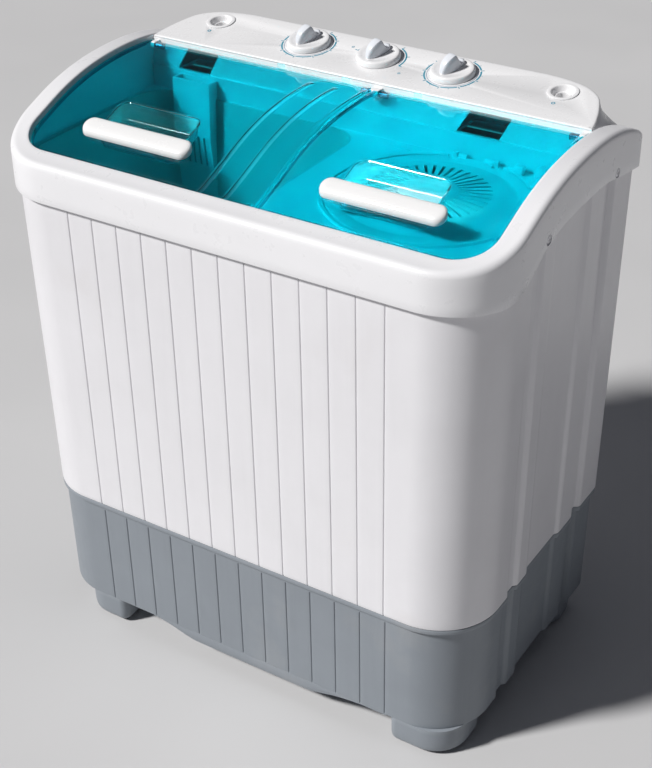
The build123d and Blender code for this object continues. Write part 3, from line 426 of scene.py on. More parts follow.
# ------------------------------------------------------- grooved wall shells
PITCH, NG = 31.35, 13
CH = [(-72, 0.0), (-66.5, 4.0), (-51.5, 4.0), (-46, 0.0), (-27, 0.0), (-13, 4.5),
      (54, 4.5), (60, 1.0), (93, 1.0), (98, 6.8), (113, 6.8), (118, 1.0), (170, 1.0)]
chf = hermite([(-200, 0.0)] + CH + [(190, 1.0)])


def bhw(z):
    return 285.7 + (z - 180.2) * 3.8 / 376.8


def byf(z):
    return -164.3 - (z - 180.2) * 3.7 / 376.8


def wall_profile(z, inset, groove, chan=1.0):
    """Plan outline of the cabinet wall at height z; groove is the depth of the front grooves there."""
    half, yf, yr = bhw(z) - inset, byf(z) + inset, 168.4 - inset
    rf, rr = 71.5 - inset, 9.0 - inset * 0.5
    pts = []
    xs = [-half + rf]
    for i in range(NG):
        c = (i - (NG - 1) / 2) * PITCH
        xs += [c - 6.0, c - 1.5, c - 0.95, c - 0.55, c - 0.25, c, c + 0.25, c + 0.55, c + 0.95, c + 1.5, c + 6.0]
    xs.append(half - rf)
    gd = {0: 1.0, 1: 0.92, 2: 0.35, 3: 0.06}
    for k, x in enumerate(xs):
        d = 0.0
        r = (k - 1) % 11 if 0 < k < len(xs) - 1 else None
        if r is not None:
            j = abs(r - 5)
            d = groove * {0: 1.0, 1: 0.92, 2: 0.40, 3: 0.08}.get(j, 0.0)
        pts.append((x, yf + d))
    pts += arc(half - rf, yf + rf, rf, -90, 0, 28)[1:]
    ys = np.concatenate([np.linspace(yf + rf, 120, 130)[1:], np.linspace(120, yr - rr, 12)[1:]])
    side = [(half - chan * float(chf(y)), float(y)) for y in ys]
    pts += side
    q = chan * float(chf(yr - rr))
    pts += arc(half - q - rr, yr - rr, rr, 0, 90, 8)[1:]
    pts += seg((half - q - rr, yr), (-half + q + rr, yr), 16)
    pts += arc(-half + q + rr, yr - rr, rr, 90, 180, 8)
    pts += [(-x, y) for x, y in reversed(side)]
    pts += arc(-half + rf, yf + rf, rf, 180, 270, 28)[:-1]
    return pts


def shell(name, z_levels, top_fn, inset, thick, groove_fn, slot, mat, replaces, chan_fn, bottom_fn=None):
    outer, inner = [], []
    for k, z in enumerate(z_levels):
        o = wall_profile(z, inset + (0.9 if k == 0 else 0.25 if k == 1 else 0.0), groove_fn(z), chan_fn(z))
        i = wall_profile(z, inset + thick, 0.0, chan_fn(z))
        fr = (k / (len(z_levels) - 1))
        ring_o, ring_i = [], []
        for (x, y) in o:
            zt = top_fn(x, y)
            zb = z_levels[0] if bottom_fn is None else bottom_fn(x, y)
            zz = zb + (zt - zb) * (z - z_levels[0]) / (z_levels[-1] - z_levels[0])
            ring_o.append((x, y, zz))
        for (x, y) in i:
            zt = top_fn(x, y)
            zb = z_levels[0] if bottom_fn is None else bottom_fn(x, y)
            zz = zb + (zt - zb) * (z - z_levels[0]) / (z_levels[-1] - z_levels[0])
            ring_i.append((x, y, zz))
        outer.append(ring_o)
        inner.append(ring_i)
    rings = outer + inner[::-1]
    nr, nc = len(rings), len(rings[0])
    verts = [p for r in rings for p in r]
    return make(name, verts, grid_faces(nr, nc, True, True), "cabinet", slot, mat, 38, replaces)


def cabinet_top(x, y):
    return min(float(SK(y)) + 9.0, 611.0) if y < 158 else 586.0


zl = [180.2, 180.9, 182.5] + list(np.linspace(190, 600, 26))
cab = shell("cabinet_shell", zl, cabinet_top, 0.0, 3.0, lambda z: 1.05, "white_plastic", M["white"],
            ("body_shell",), lambda z: 1.0)

def base_wall_mesh():
    """Grey base: a rim flush with the cabinet at the top, then a wall set back, with grooves that stop short of both ends."""
    rows = [(180.0, 0.9, 0), (179.9, 0.35, 0), (179.5, 0.12, 0), (175.2, 0.1, 0), (174.6, 0.3, 0), (174.3, 0.9, 0), (174.1, 2.4, 0),
            (173.8, 3.5, 0), (173.0, 4.0, 0), (171.5, 4.0, 0), (170.0, 4.0, 0), (168.9, 4.0, 0.0), (168.4, 4.0, 0.5), (167.9, 4.0, 1.0)]
    rows += [(z, 4.0, 1.0) for z in np.linspace(160, 50, 12)]
    rows += [(42.0, 4.0, 1.0), (37.6, 4.0, 1.0), (36.9, 4.0, 0.7), (36.2, 4.1, 0.3), (35.6, 4.5, 0.0), (35.3, 5.2, 0.0)]
    rings = []
    for z, inset, g in rows:
        rings.append([(x, y, z) for x, y in wall_profile(z, inset, 1.05 * g)])
    for z in (35.3, 42.0, 176.0, 180.0):
        rings.append([(x, y, z) for x, y in wall_profile(max(z, 36), 7.5, 0.0)])
    nr_, nc_ = len(rings), len(rings[0])
    return [p for r in rings for p in r], grid_faces(nr_, nc_, True, True)


v, f = base_wall_mesh()
ring35 = [(x, y) for x, y in wall_profile(36, 7.4, 0.0)]
fl = loft([[(x, y, 35.6) for x, y in ring35], [(x, y, 38.6) for x, y in ring35]])
lipx = hermite([(-130, 35.3), (-100, 28.9), (-84, 24.4), (-68, 21.7), (-40, 21.5), (60, 21.3), (88, 21.7), (104, 24.8), (125, 29.9),
                (156, 33.7), (190, 35.4)])
lr = []
for x in np.linspace(-130, 190, 110):
    z0 = min(float(lipx(x)), 35.2)
    y0 = byf(35.3) + 4.0
    lr.append([(x, y0 + 1.1, 36.2), (x, y0 + 0.7, 34.4), (x, y0 + 0.7, z0 + 0.8), (x, y0 + 1.0, z0 + 0.25), (x, y0 + 1.7, z0), (x, y0 + 2.8, z0),
               (x, y0 + 3.5, z0 + 0.5), (x, y0 + 3.6, 36.2)])
lip = loft(lr)
base = make("base_wall", *join((v, f), fl, lip), "cabinet", "grey_plastic", M["grey"], 38, ("base_shell",))


def foot_loop(x0, x1, y0, y1, rl, rr, ro, k=10):
    out = arc(x1 - rr, y0 + rr, rr, -90, 0, k)
    out += arc(x1 - ro, y1 - ro, ro, 0, 90, k)
    out += arc(x0 + ro, y1 - ro, ro, 90, 180, k)
    out += arc(x0 + rl, y0 + rl, rl, 180, 270, k)
    return out


FEET = [(-240, -174, -158.6, -90, 35, 10, 10), (193, 271, -158.6, -88, 10, 41, 10),
        (-273, -207, 100, 156, 20, 20, 20), (207, 273, 100, 156, 20, 20, 20)]
fparts, pads = [], []
for x0_, x1_, y0_, y1_, rl_, rr_, ro_ in FEET:
    rg = []
    for ins, z in ((0.0, 36.0), (0.0, 30.0), (0.0, 18.0), (0.3, 10.0), (1.0, 7.0), (2.4, 5.0), (4.5, 4.05)):
        rg.append([(x, y, z) for x, y in foot_loop(x0_ + ins, x1_ - ins, y0_ + ins, y1_ - ins, rl_ - ins, rr_ - ins, ro_ - ins)])
    fparts.append(loft(rg))
    rg = []
    for ins, z in ((6.0, 4.2), (6.0, 1.2), (6.3, 0.4), (7.2, 0.0)):
        rg.append([(x, y, z) for x, y in foot_loop(x0_ + ins, x1_ - ins, y0_ + ins, y1_ - ins, max(rl_ - ins, 2), max(rr_ - ins, 2), max(ro_ - ins, 2))])
    pads.append(loft(rg))
make("corner_feet_moulded", *join(*fparts), "cabinet", "grey_plastic", M["grey"], 40, ("corner_feet",))
make("foot_pads_moulded", *join(*pads), "cabinet", "black_rubber", M["rubber"], 40, ("foot_pads",))

# ---------------------------------------------------------------- top frame
out_loop = plan_loop(HW, YF, YR, 76, 12)
in_loop = plan_loop(RIN, OYF, OYR, 40, 2)


def frame_rings():
    rings = []
    for (ox, oy), (ix, iy) in zip(out_loop, in_loop):
        o, i = np.array([ox, oy]), np.array([ix, iy])
        w = float(np.linalg.norm(o - i))
        d = (o - i) / w
        th = 3.0 if w > 12 else 1.6

        def at(s):
            p = i + d * s
            return p, float(P(p[1]))
        sec = []

        def add(s, dz=None, z=None):
            p, h = at(s)
            sec.append((p[0], p[1], z if z is not None else h + dz))
        skb = float(SK(oy))
        add(0.0, z=590.0)
        add(0.0, z=596.0)
        add(0.0, dz=-3.0)
        add(0.25, dz=-1.4)
        add(0.9, dz=-0.5)
        add(2.0, dz=-0.1)
        r = min(6.5, w * 0.4)
        for f in (0.12, 0.3, 0.5, 0.7, 0.88):
            add(2.0 + (w - r - 2.0) * f, dz=0.0)
        for a in (0, 15, 30, 45, 60, 75, 90):
            c, s_ = math.cos(math.radians(a)), math.sin(math.radians(a))
            add(w - r + r * s_, dz=-r * 0.95 * (1 - c))
        top_z = float(P(oy)) - r * 0.95
        for f in (0.25, 0.5, 0.75):
            add(w, z=top_z + (skb + 1.2 - top_z) * f)
        add(w, z=skb + 1.2)
        add(w - 0.35, z=skb + 0.3)
        add(w - 1.2, z=skb)
        add(w - th + 0.6, z=skb)
        add(w - th, z=skb + 0.8)
        p1, h1 = at(w - th)
        add(w - th, z=max(skb + 4, h1 - 12))
        add(w - th, z=h1 - r - 0.5)
        add(w - r, z=at(w - r)[1] - 3.0)
        add(3.0 if w > 12 else 1.8, dz=-3.0)
        add(3.0 if w > 12 else 1.8, z=603.0)
        add(3.0 if w > 12 else 1.8, z=590.0)
        rings.append(sec)
    return rings


fr = frame_rings()
nr, nc = len(fr), len(fr[0])
frame_ob = make("top_frame_moulding", [p for r in fr for p in r], grid_faces(nr, nc, True, True), "cabinet",
                "white_plastic", M["frame"], 42, ("top_frame",))

# ------------------------------------------------------------- plan of a lid
LDROP = 6.0


def lid_mesh(name, x0, x1, corner, gx, ribs, body, node, tabs):
    """A clear lid: one sheet that follows the rails, with a sunk finger well, edge beads and a turned-down rim."""
    yf, yr = LW0[1], 86.0
    wy0, wy1 = -104.0, -55.5
    wx0, wx1 = gx - 51, gx + 49
    wcx, wcy, whx, why, wr = (wx0 + wx1) / 2, (wy0 + wy1) / 2, (wx1 - wx0) / 2, (wy1 - wy0) / 2, 9.0

    def refine(a, b, keys, base):
        vals = set(np.round(np.arange(a, b + 1e-6, base), 4))
        vals.add(round(b, 4))
        for k, offs in keys:
            for o in offs:
                v = k + o
                if a < v < b:
                    vals.add(round(v, 4))
        v = sorted(vals)
        out = [v[0]]
        for t in v[1:]:
            if t - out[-1] > 0.28:
                out.append(t)
        out[-1] = v[-1]
        return np.array(out)
    wl = tuple(np.arange(-12.5, 12.6, 0.9))
    keys_x = [(wx0, wl), (wx1, wl), (x0, (0.5, 1.0, 1.8, 3, 4.2, 5.5, 7)), (x1, (-0.5, -1.0, -1.8, -3, -4.2, -5.5, -7))]
    for r in ribs:
        keys_x.append((r, tuple(np.arange(-4.8, 4.9, 0.6))))
    for t in tabs:
        keys_x.append((t, (-5.4, -5, -4.6, -4.2, 4.2, 4.6, 5, 5.4)))
    zones = [(-266.8, -259.2), (21.2, 33.8), (259.2, 266.8)]
    for za, zb in zones:
        keys_x += [(za, (0.0,)), (zb, (0.0,))]
    ucols = refine(x0, x1, keys_x, 7.0)
    rows = refine(yf, yr, [(wy0, wl), (wy1, wl), (78.3, (0.0,)), (68.0, (-0.8, -0.3, 0.2, 0.7)),
                           (yf, (0.25, 0.5, 0.8, 1.2, 1.7, 2.3, 3, 3.6, 4.2, 4.9, 5.6, 6.4, 7.2, 8.2, 9.5, 12, 15, 18.5, 22, 26, 30, 34.5))], 6.0)
    verts = []
    for y in rows:
        def edge(rad):
            dy = yf + rad - y
            return rad - math.sqrt(max(rad * rad - dy * dy, 0)) if dy > 0 else 0.0
        el = edge(corner[0])
        er = edge(corner[1])
        a, b = x0 + el, x1 - er
        for t in ucols:
            x = t
            if el > 0 and t < x0 + 60:
                x = a + (t - x0) / 60.0 * (x0 + 60 - a)
            if er > 0 and t > x1 - 60:
                x = b - (x1 - t) / 60.0 * (b - (x1 - 60))
            z = float(P(y)) - LDROP
            # sunk well with rounded corners and rims
            qx, qy = abs(x - wcx) - (whx - wr), abs(y - wcy) - (why - wr)
            d = math.hypot(max(qx, 0), max(qy, 0)) + min(max(qx, qy), 0) - wr
            z -= 15.6 * float(sm(0.8, -4.4, d))
            z += 0.9 * float(sm(0.6, 1.6, d) * (1 - sm(2.4, 4.0, d)))
            for r in ribs:
                if y < 62:
                    z += 1.5 * float(sm(4.2, 1.0, abs(x - r))) * float(sm(62, 58, y))
            for t_ in tabs:
                z += 1.4 * float(sm(5.2, 4.4, abs(x - t_))) * float(sm(67.3, 68.6, y))
            # step along the free edges
            dl = (x - a) if corner[0] < 20 or y < yf + 60 or True else 99
            dist = min(x - a, b - x)
            if y < yf + 60:
                cl = (x0 + corner[0], yf + corner[0])
                cr_ = (x1 - corner[1], yf + corner[1])
                df = y - yf
                if x < cl[0] and y < cl[1]:
                    df = corner[0] - math.hypot(x - cl[0], y - cl[1])
                if x > cr_[0] and y < cr_[1]:
                    df = corner[1] - math.hypot(x - cr_[0], y - cr_[1])
                dist = min(dist, df) if not ((x < cl[0] and y < cl[1]) or (x > cr_[0] and y < cr_[1])) else df
            z += 0.9 * float(sm(6.6, 5.2, dist))
            z -= 1.1 * float(sm(1.3, 0.0, dist)) ** 2
            verts.append((x, y, z))
    nr, nc = len(rows), len(ucols)
    def notched(ids):
        """True inside the notches around the hinge brackets."""
        cx_ = sum(verts[q][0] for q in ids) / len(ids)
        cy_ = sum(verts[q][1] for q in ids) / len(ids)
        return cy_ > 78.3 and any(za <= cx_ <= zb for za, zb in zones)
    faces = [f_ for f_ in grid_faces(nr, nc) if not notched(f_)]
    rim = [i * nc for i in range(nr - 1, -1, -1)] + [j for j in range(1, nc)] + [i * nc + nc - 1 for i in range(1, nr)]
    prev = rim
    for k, dz in enumerate((-1.4, -4.8)):
        cur = []
        for q in rim:
            x, y, z = verts[q]
            cur.append(len(verts))
            lim = 0.0 if y > 78 else 1.0
            verts.append((x, y, z + dz * (0.35 + 0.65 * lim)))
        for a_, b_, c_, d_ in zip(prev[:-1], prev[1:], cur[1:], cur[:-1]):
            if not notched((a_, b_)):
                faces.append((a_, b_, c_, d_))
        prev = cur
    ob = make(name, verts, faces, body, "blue_clear_plastic", [M["blue"], M["clear"], M["bead"]], 50, (node,))
    for p in ob.data.polygons:
        c = p.center / S
        qx, qy = abs(c.x - wcx) - (whx - wr), abs(c.y - wcy) - (why - wr)
        d = math.hypot(max(qx, 0), max(qy, 0)) + min(max(qx, qy), 0) - wr
        # well floor and walls get the frosted clear, whose whiter tint is painted reflection
        if d < 0.4:
            p.material_index = 1
        # band round the well and the rib flanks: the paler bead tint paints highlight lines
        elif d < 3.0:
            p.material_index = 2
        for r in ribs:
            if c.y < 62 and 0.8 < abs(c.x - r) < 3.4:
                p.material_index = 2
    so = ob.modifiers.new("wall", "SOLIDIFY")
    so.thickness = 2.0 * S
    so.offset = -1
    so.use_even_offset = False
    so.use_rim = True
    bpy.context.view_layer.update()
    apply_mods(ob)
    shade(ob, 50)
    return ob


wash_lid = lid_mesh("wash_lid_panel", LW0[0], 26.5, (39, 5), -145.0, (-38.0, -8.0), "wash_lid_body", "wash_lid", ())
spin_lid = lid_mesh("spin_lid_panel", 28.5, LS1[0], (5, 39), 145.0, (), "spin_lid_body", "spin_lid", ())


# ---------------------------------------------------------------- grip bars
def slot_ring(cx, cy, half_len, r, n=14):
    r = max(r, 0.05)
    pts = arc(cx + half_len, cy, r, -90, 90, n) + arc(cx - half_len, cy, r, 90, 270, n)
    return pts


def grip_bar(name, gx, body, node):
    gy = -101.0
    rings = []
    for off, h in ((1.6, -5.9), (0.6, -5.7), (0.0, -4.6), (0.0, -1.5), (0.35, 0.2), (1.1, 1.3), (2.2, 2.1), (3.8, 2.6), (6.0, 2.85), (8.5, 2.95)):
        ring = []
        for x, y in slot_ring(gx, gy, 58, 10 - off):
            ring.append((x, y, float(P(y)) + h))
        rings.append(ring)
    v, f = loft(rings)
    return make(name, v, f, body, "grip_plastic", M["grip"], 45, (node,))


grip_bar("wash_grip_bar", -145.0, "wash_lid_body", "wash_lid_grip")
grip_bar("spin_grip_bar", 145.0, "spin_lid_body", "spin_lid_grip")


# ------------------------------------------------------------ control panel
def pp(x, u, n):
    """A point x across, u up the panel and n above it."""
    return (x, PY + u * CS - n * SN, PZ + u * SN + n * CS)


def panel_outline_pts():
    ctrl = [(269.0, 0.0), (267.5, 12.0), (262.0, 33.0), (253.5, 54.0), (246.0, 63.5), (236.0, 70.8), (225.5, 75.6), (214.0, 78.6),
            (199.0, 81.2), (183.0, 82.6)]
    f = []
    # Catmull-Rom through the control points
    for i in range(len(ctrl) - 1):
        p0 = np.array(ctrl[max(i - 1, 0)]); p1 = np.array(ctrl[i]); p2 = np.array(ctrl[i + 1]); p3 = np.array(ctrl[min(i + 2, len(ctrl) - 1)])
        for t in np.linspace(0, 1, 5)[:-1]:
            f.append(tuple(0.5 * ((2 * p1) + (-p0 + p2) * t + (2 * p0 - 5 * p1 + 4 * p2 - p3) * t**2 + (-p0 + 3 * p1 - 3 * p2 + p3) * t**3)))
    f.append(ctrl[-1])
    right = f
    rear = [(x, 82.6) for x in np.linspace(183, -183, 25)[1:-1]]
    left = [(-x, u) for x, u in reversed(right)]
    front = [(x, 0.0) for x in np.linspace(-269, 269, 41)[1:-1]]
    return right + rear + left + front


PO = panel_outline_pts()


def inset_poly(pts, d):
    """The closed outline moved inwards by d."""
    n = len(pts)
    out = []
    a = np.array(pts)
    area = 0.5 * np.sum(a[:, 0] * np.roll(a[:, 1], -1) - np.roll(a[:, 0], -1) * a[:, 1])
    s = 1 if area > 0 else -1
    for i in range(n):
        e1 = a[i] - a[i - 1]
        e2 = a[(i + 1) % n] - a[i]
        n1 = np.array([-e1[1], e1[0]]) / (np.linalg.norm(e1) + 1e-9) * s
        n2 = np.array([-e2[1], e2[0]]) / (np.linalg.norm(e2) + 1e-9) * s
        m = n1 + n2
        k = np.linalg.norm(m)
        m = m / k if k > 1e-6 else n1
        out.append(tuple(a[i] + m * d / max(0.5, float(m @ n1))))
    return out


rings = []
for d, n in ((1.0, -2.5), (0.2, -2.4), (0.0, -1.9), (0.0, -1.2), (0.3, -0.6), (0.9, -0.2), (1.8, 0.0), (4.0, 0.0)):
    rings.append([pp(x, u, n) for x, u in inset_poly(PO, d)])
# inner field of the panel: the top and bottom rings are each closed by one face, holes for shafts and inlets cut
# afterwards
v, f = loft(rings, close_ends=False)
nc = len(PO)
top_ring = list(range((len(rings) - 1) * nc, len(rings) * nc))
bot_ring = list(range(nc))
f.append(tuple(top_ring))
f.append(tuple(reversed(bot_ring)))
panel = make("panel_fascia", v, f, "cabinet", "panel_plastic", M["panel"], 30, ("control_panel_face",))


def cutter(name, pts_list):
    v, f = join(*pts_list)
    me = bpy.data.meshes.new(name)
    me.from_pydata([tuple(np.array(p) * S) for p in v], [], f)
    bm = bmesh.new(); bm.from_mesh(me); bmesh.ops.recalc_face_normals(bm, faces=bm.faces); bm.to_mesh(me); bm.free()
    ob = bpy.data.objects.new(name, me)
    bpy.context.scene.collection.objects.link(ob)
    return ob


def cyl_on_panel(cx, cu, r, n0, n1, k=48, r1=None):
    r1 = r if r1 is None else r1
    a = [pp(cx + r * math.cos(t), cu + r * math.sin(t), n0) for t in np.linspace(0, 2 * math.pi, k + 1)[:-1]]
    b = [pp(cx + r1 * math.cos(t), cu + r1 * math.sin(t), n1) for t in np.linspace(0, 2 * math.pi, k + 1)[:-1]]
    return loft([a, b])


def boolean(ob, cut):
    mod = ob.modifiers.new("cut", "BOOLEAN")
    mod.operation = "DIFFERENCE"
    mod.solver = "EXACT"
    mod.object = cut
    bpy.context.view_layer.update()
    apply_mods(ob)
    bpy.data.objects.remove(cut)


KX, KU = (-89.0, 0.0, 90.0), 47.0
IX, IU = 213.0, 54.5
cuts = [cyl_on_panel(x, KU, 5.0, -10, 10) for x in KX] + [cyl_on_panel(s * IX, IU, 15.2, -10, 10, 64) for s in (-1, 1)]
boolean(panel, cutter("c0", cuts))
bv = panel.modifiers.new("bv", "BEVEL")
bv.width = 0.5 * S
bv.segments = 2
bv.limit_method = "ANGLE"
bv.angle_limit = math.radians(50)
apply_mods(panel)
shade(panel, 30)

# housing below the panel: cheeks that flare out from the panel's outline to the rails
def housing():
    n = len(PO)
    base = []
    x1, y0, y1 = 271.0, PY, 166.8
    # matching points on the footprint, by arc fraction of each stretch
    k = len([1 for _ in range(1)])
    right_n = (n - 23 - 39) // 2
    foot = []
    rc = 5.0
    side = [(x1, y0 + (y1 - rc - y0) * t) for t in np.linspace(0, 1, right_n - 6)]
    corner = arc(x1 - rc, y1 - rc, rc, 0, 90, 5)[0:]
    right = side + corner
    right = right[:right_n] if len(right) >= right_n else right + [right[-1]] * (right_n - len(right))
    rear = [(x, y1) for x in np.linspace(right[-1][0], -right[-1][0], 25)[1:-1]]
    left = [(-x, y) for x, y in reversed(right)]
    front = [(x, y0) for x in np.linspace(-x1, x1, 41)[1:-1]]
    foot = right + rear + left + front
    return foot


foot = housing()
assert len(foot) == len(PO), (len(foot), len(PO))


def house_ring(t, inset):
    """t 0 at the shelf, 1 at the rails, 2 at the panel."""
    ft = inset_poly(foot, inset)
    po = inset_poly(PO, inset)
    out = []
    for (fx, fy), (qx, qu) in zip(ft, po):
        rail = min(float(P(fy)) - 1.5, 645.0)
        if t <= 1:
            out.append((fx, fy, 615.0 + (rail - 615.0) * t))
        else:
            top = np.array(pp(qx, qu, -2.5))
            bot = np.array([fx, fy, rail])
            out.append(tuple(bot + (top - bot) * (t - 1)))
    return out


hr = [house_ring(t, 0.0) for t in (0, 0.5, 1, 1.1, 1.25, 1.5, 1.75, 1.92, 2)]
hi = [house_ring(t, 2.4) for t in (2, 1.5, 1, 0.5, 0)]
rings = hr + hi
hv = [p for r in rings for p in r]
hf = grid_faces(len(rings), len(rings[0]), True, True)
house = make("panel_housing", hv, hf, "cabinet", "panel_plastic", M["panel"], 35, ("control_panel_housing",))
nb = []
for x0_, x1_ in ((-236, -192), (121, 170)):
    pn = [(x0_, 612.0), (x1_, 612.0), (x1_, 616.0), (x1_ + 13, 640.0), (x0_ + 15, 640.0), (x0_, 616.0)]
    nb.append(loft([[(x, 85.0, z) for x, z in pn], [(x, 99.0, z) for x, z in pn]]))
boolean(house, cutter("c1", nb))
shade(house, 35)


def tube_x(x0, x1, cy, cz, r, k=28, bev=0.5):
    rg = []
    for x, rr in ((x0, r - bev), (x0 + bev, r), (x1 - bev, r), (x1, r - bev)):
        rg.append([(x, cy + rr * math.cos(t), cz + rr * math.sin(t)) for t in np.linspace(0, 2 * math.pi, k + 1)[:-1]])
    return loft(rg)


def soft_box(x0, x1, y0, y1, z0, z1, r=0.8):
    rg = []
    for z, i in ((z0, r), (z0 + 0.3 * r, 0.3 * r), (z0 + r, 0), (z1 - r, 0), (z1 - 0.3 * r, 0.3 * r), (z1, r)):
        rr = max(r * 1.4 - i, 0.15)
        a0, a1, b0, b1 = x0 + i, x1 - i, y0 + i, y1 - i
        rr = min(rr, (a1 - a0) / 2.2, (b1 - b0) / 2.2)
        lp = arc(a1 - rr, b0 + rr, rr, -90, 0, 4) + arc(a1 - rr, b1 - rr, rr, 0, 90, 4) + arc(a0 + rr, b1 - rr, rr, 90, 180, 4) + arc(a0 + rr, b0 + rr, rr, 180, 270, 4)
        rg.append([(x, y, z) for x, y in lp])
    return loft(rg)


# hinge knuckles of the lids, moulded in the lids' own plastic
for nm, body, kn in (("wash_lid_knuckles", "wash_lid_body", ((-259.5, -250), (12, 21))), ("spin_lid_knuckles", "spin_lid_body", ((34, 43), (250, 259.5)))):
    parts = []
    for k0, k1 in kn:
        parts.append(tube_x(k0, k1, 84, 640, 4.0))
        parts.append(soft_box(k0 + 0.2, k1 - 0.2, 80.5, 85.0, 640.5, 643.6, 0.4))
    make(nm, *join(*parts), body, "blue_clear_plastic", M["blue"], 40)

# hinge brackets under the panel's front edge
hb = []
for b0, b1 in ((-266, -260), (22, 33), (260, 266)):
    rg = []
    for x, i in ((b0, 0.5), (b0 + 0.5, 0.0), (b1 - 0.5, 0.0), (b1, 0.5)):
        lp = [(84 + (4.6 - i) * math.cos(math.radians(t)), 640 + (4.6 - i) * math.sin(math.radians(t))) for t in range(90, 271, 15)]
        lp += [(91.2, 635.4 + i), (91.2, 644.6 - i)]
        rg.append([(x, y, z) for y, z in lp])
    hb.append(loft(rg))
make("hinge_brackets", *join(*hb), "cabinet", "panel_plastic", M["panel"], 40, ("lid_hinge_brackets",))


# ---------------------------------------------------------------- knobs
def knob(name, kx, body, node, turn=16.0):
    parts = []
    rg = []
    for r, n in ((24.4, 0.5), (24.5, 1.2), (24.2, 3.2), (23.6, 5.0), (23.1, 5.9), (22.4, 6.35), (21.4, 6.5), (18.5, 6.35), (17.9, 6.0), (8.0, 5.9)):
        rg.append([pp(kx + r * math.cos(t), KU + r * math.sin(t), n) for t in np.linspace(0, 2 * math.pi, 97)[:-1]])
    parts.append(loft(rg))
    a = math.radians(turn)
    dx, du = math.sin(a), math.cos(a)
    ex, eu = math.cos(a), -math.sin(a)
    hs = hermite([(-17.0, 7.4), (-15.6, 12.0), (-12.0, 17.4), (-6.0, 20.8), (-1.0, 22.2), (1.2, 22.4), (3.4, 20.0), (6.0, 14.5), (8.6, 10.6), (11.0, 10.0),
                  (14.0, 10.6), (17.0, 9.6)])
    rg = []
    for q in np.linspace(-1, 1, 44):
        s_ = 17.0 * math.sin(q * math.pi / 2)
        w = 6.4 * max(1 - (s_ / 17.1) ** 2, 0.0) ** 0.45 + 0.12
        h = float(hs(s_))
        sec = [(-w, 4.5), (-w * 1.0, 6.4), (-w * 0.98, 6.4 + (h - 6.4) * 0.5), (-w * 0.92, 6.4 + (h - 6.4) * 0.80), (-w * 0.72, 6.4 + (h - 6.4) * 0.95),
               (-w * 0.4, 6.4 + (h - 6.4) * 0.985), (0, h)]
        sec += [(-p, n) for p, n in reversed(sec[:-1])]
        rg.append([pp(kx + s_ * dx + w_ * ex, KU + s_ * du + w_ * eu, n) for w_, n in sec])
    parts.append(loft(rg))
    ob = make(name, *join(*parts), body, "knob_plastic", [M["knob"], M["knob_blade"]], 38, (node,))
    # faces of the blade more than 7.2 mm above the panel get the greyer copy: painted shade
    for p in ob.data.polygons:
        if len(p.vertices) == 4:
            c = p.center / S
            n = -(c.y - PY) * SN + (c.z - PZ) * CS
            if n > 7.2:
                p.material_index = 1
    return ob


knob("wash_timer_dial", KX[0], "wash_timer_knob_body", "wash_timer_knob")
knob("selector_dial", KX[1], "selector_knob_body", "selector_knob")
knob("spin_timer_dial", KX[2], "spin_timer_knob_body", "spin_timer_knob")


def flat_arc(cx, cu, r0, r1, a0, a1, n0=0.02, n1=0.14):
    """A flat arc on the panel, for printed marks and for the painted shadow ring round each knob; angles in degrees
    from the panel's +u axis, clockwise as seen by a person in front.
    """
    k = max(2, int(abs(a1 - a0) / 3) + 1)
    rg = []
    for t in np.linspace(math.radians(a0), math.radians(a1), k):
        dx, du = math.sin(t), math.cos(t)
        rg.append([pp(cx + r * dx, cu + r * du, n) for r, n in ((r0, n0), (r0, n1), (r1, n1), (r1, n0))])
    return loft(rg)


def tick(cx, cu, ang, r0, r1, w):
    t = math.radians(ang)
    dx, du = math.sin(t), math.cos(t)
    ex, eu = math.cos(t), -math.sin(t)
    rg = []
    for r in (r0, r1):
        rg.append([pp(cx + r * dx + q * ex, cu + r * du + q * eu, n) for q, n in ((-w, 0.02), (-w, 0.14), (w, 0.14), (w, 0.02))])
    return loft(rg)


ink, knob_shadow_rings = [], []
for kx in (KX[0], KX[2]):
    for a0 in range(20, 340, 40):
        ink.append(flat_arc(kx, KU, 29.2, 30.9, a0 + 3, a0 + 37))
    # thin ring just outside the knob: painted shadow round its base
    knob_shadow_rings.append(flat_arc(kx, KU, 27.2, 27.7, 25, 335))
    for a0 in range(20, 341, 40):
        ink.append(tick(kx, KU, a0, 29.6, 33.4, 0.5))
    for a0 in range(40, 330, 40):
        ink.append(tick(kx, KU, a0, 31.4, 32.8, 0.3))
for a0, a1 in ((-78, -24), (28, 104)):
    ink.append(flat_arc(KX[1], KU, 29.2, 30.9, a0, a1))
    knob_shadow_rings.append(flat_arc(KX[1], KU, 27.2, 27.7, a0 + 4, a1 - 4))
for a0 in (-78, -24, 28, 66, 104):
    ink.append(tick(KX[1], KU, a0, 29.6, 34.0, 0.5))
# plain position marks beside the selector and by the inlets
for cx, cu, r in ((-38.5, 58, 1.6), (37, 26, 1.6), (-213, 31, 2.2), (213, 31, 2.2)):
    rg = []
    for rr, n in ((r, 0.02), (r, 0.14), (r * 0.55, 0.14), (r * 0.55, 0.02)):
        rg.append([pp(cx + rr * math.cos(t), cu + rr * math.sin(t), n) for t in np.linspace(0, 2 * math.pi, 25)[:-1]])
    nr_, nc_ = len(rg), 24
    ink.append(([p for q in rg for p in q], grid_faces(nr_, nc_, True, True)))
make("panel_print_dark", *join(*ink), "cabinet", "panel_plastic", M["ink"], 0)
# the rings just outside the knobs: painted shadow
make("panel_knob_shadow_rings", *join(*knob_shadow_rings), "cabinet", "panel_plastic", M["ink_grey"], 0)


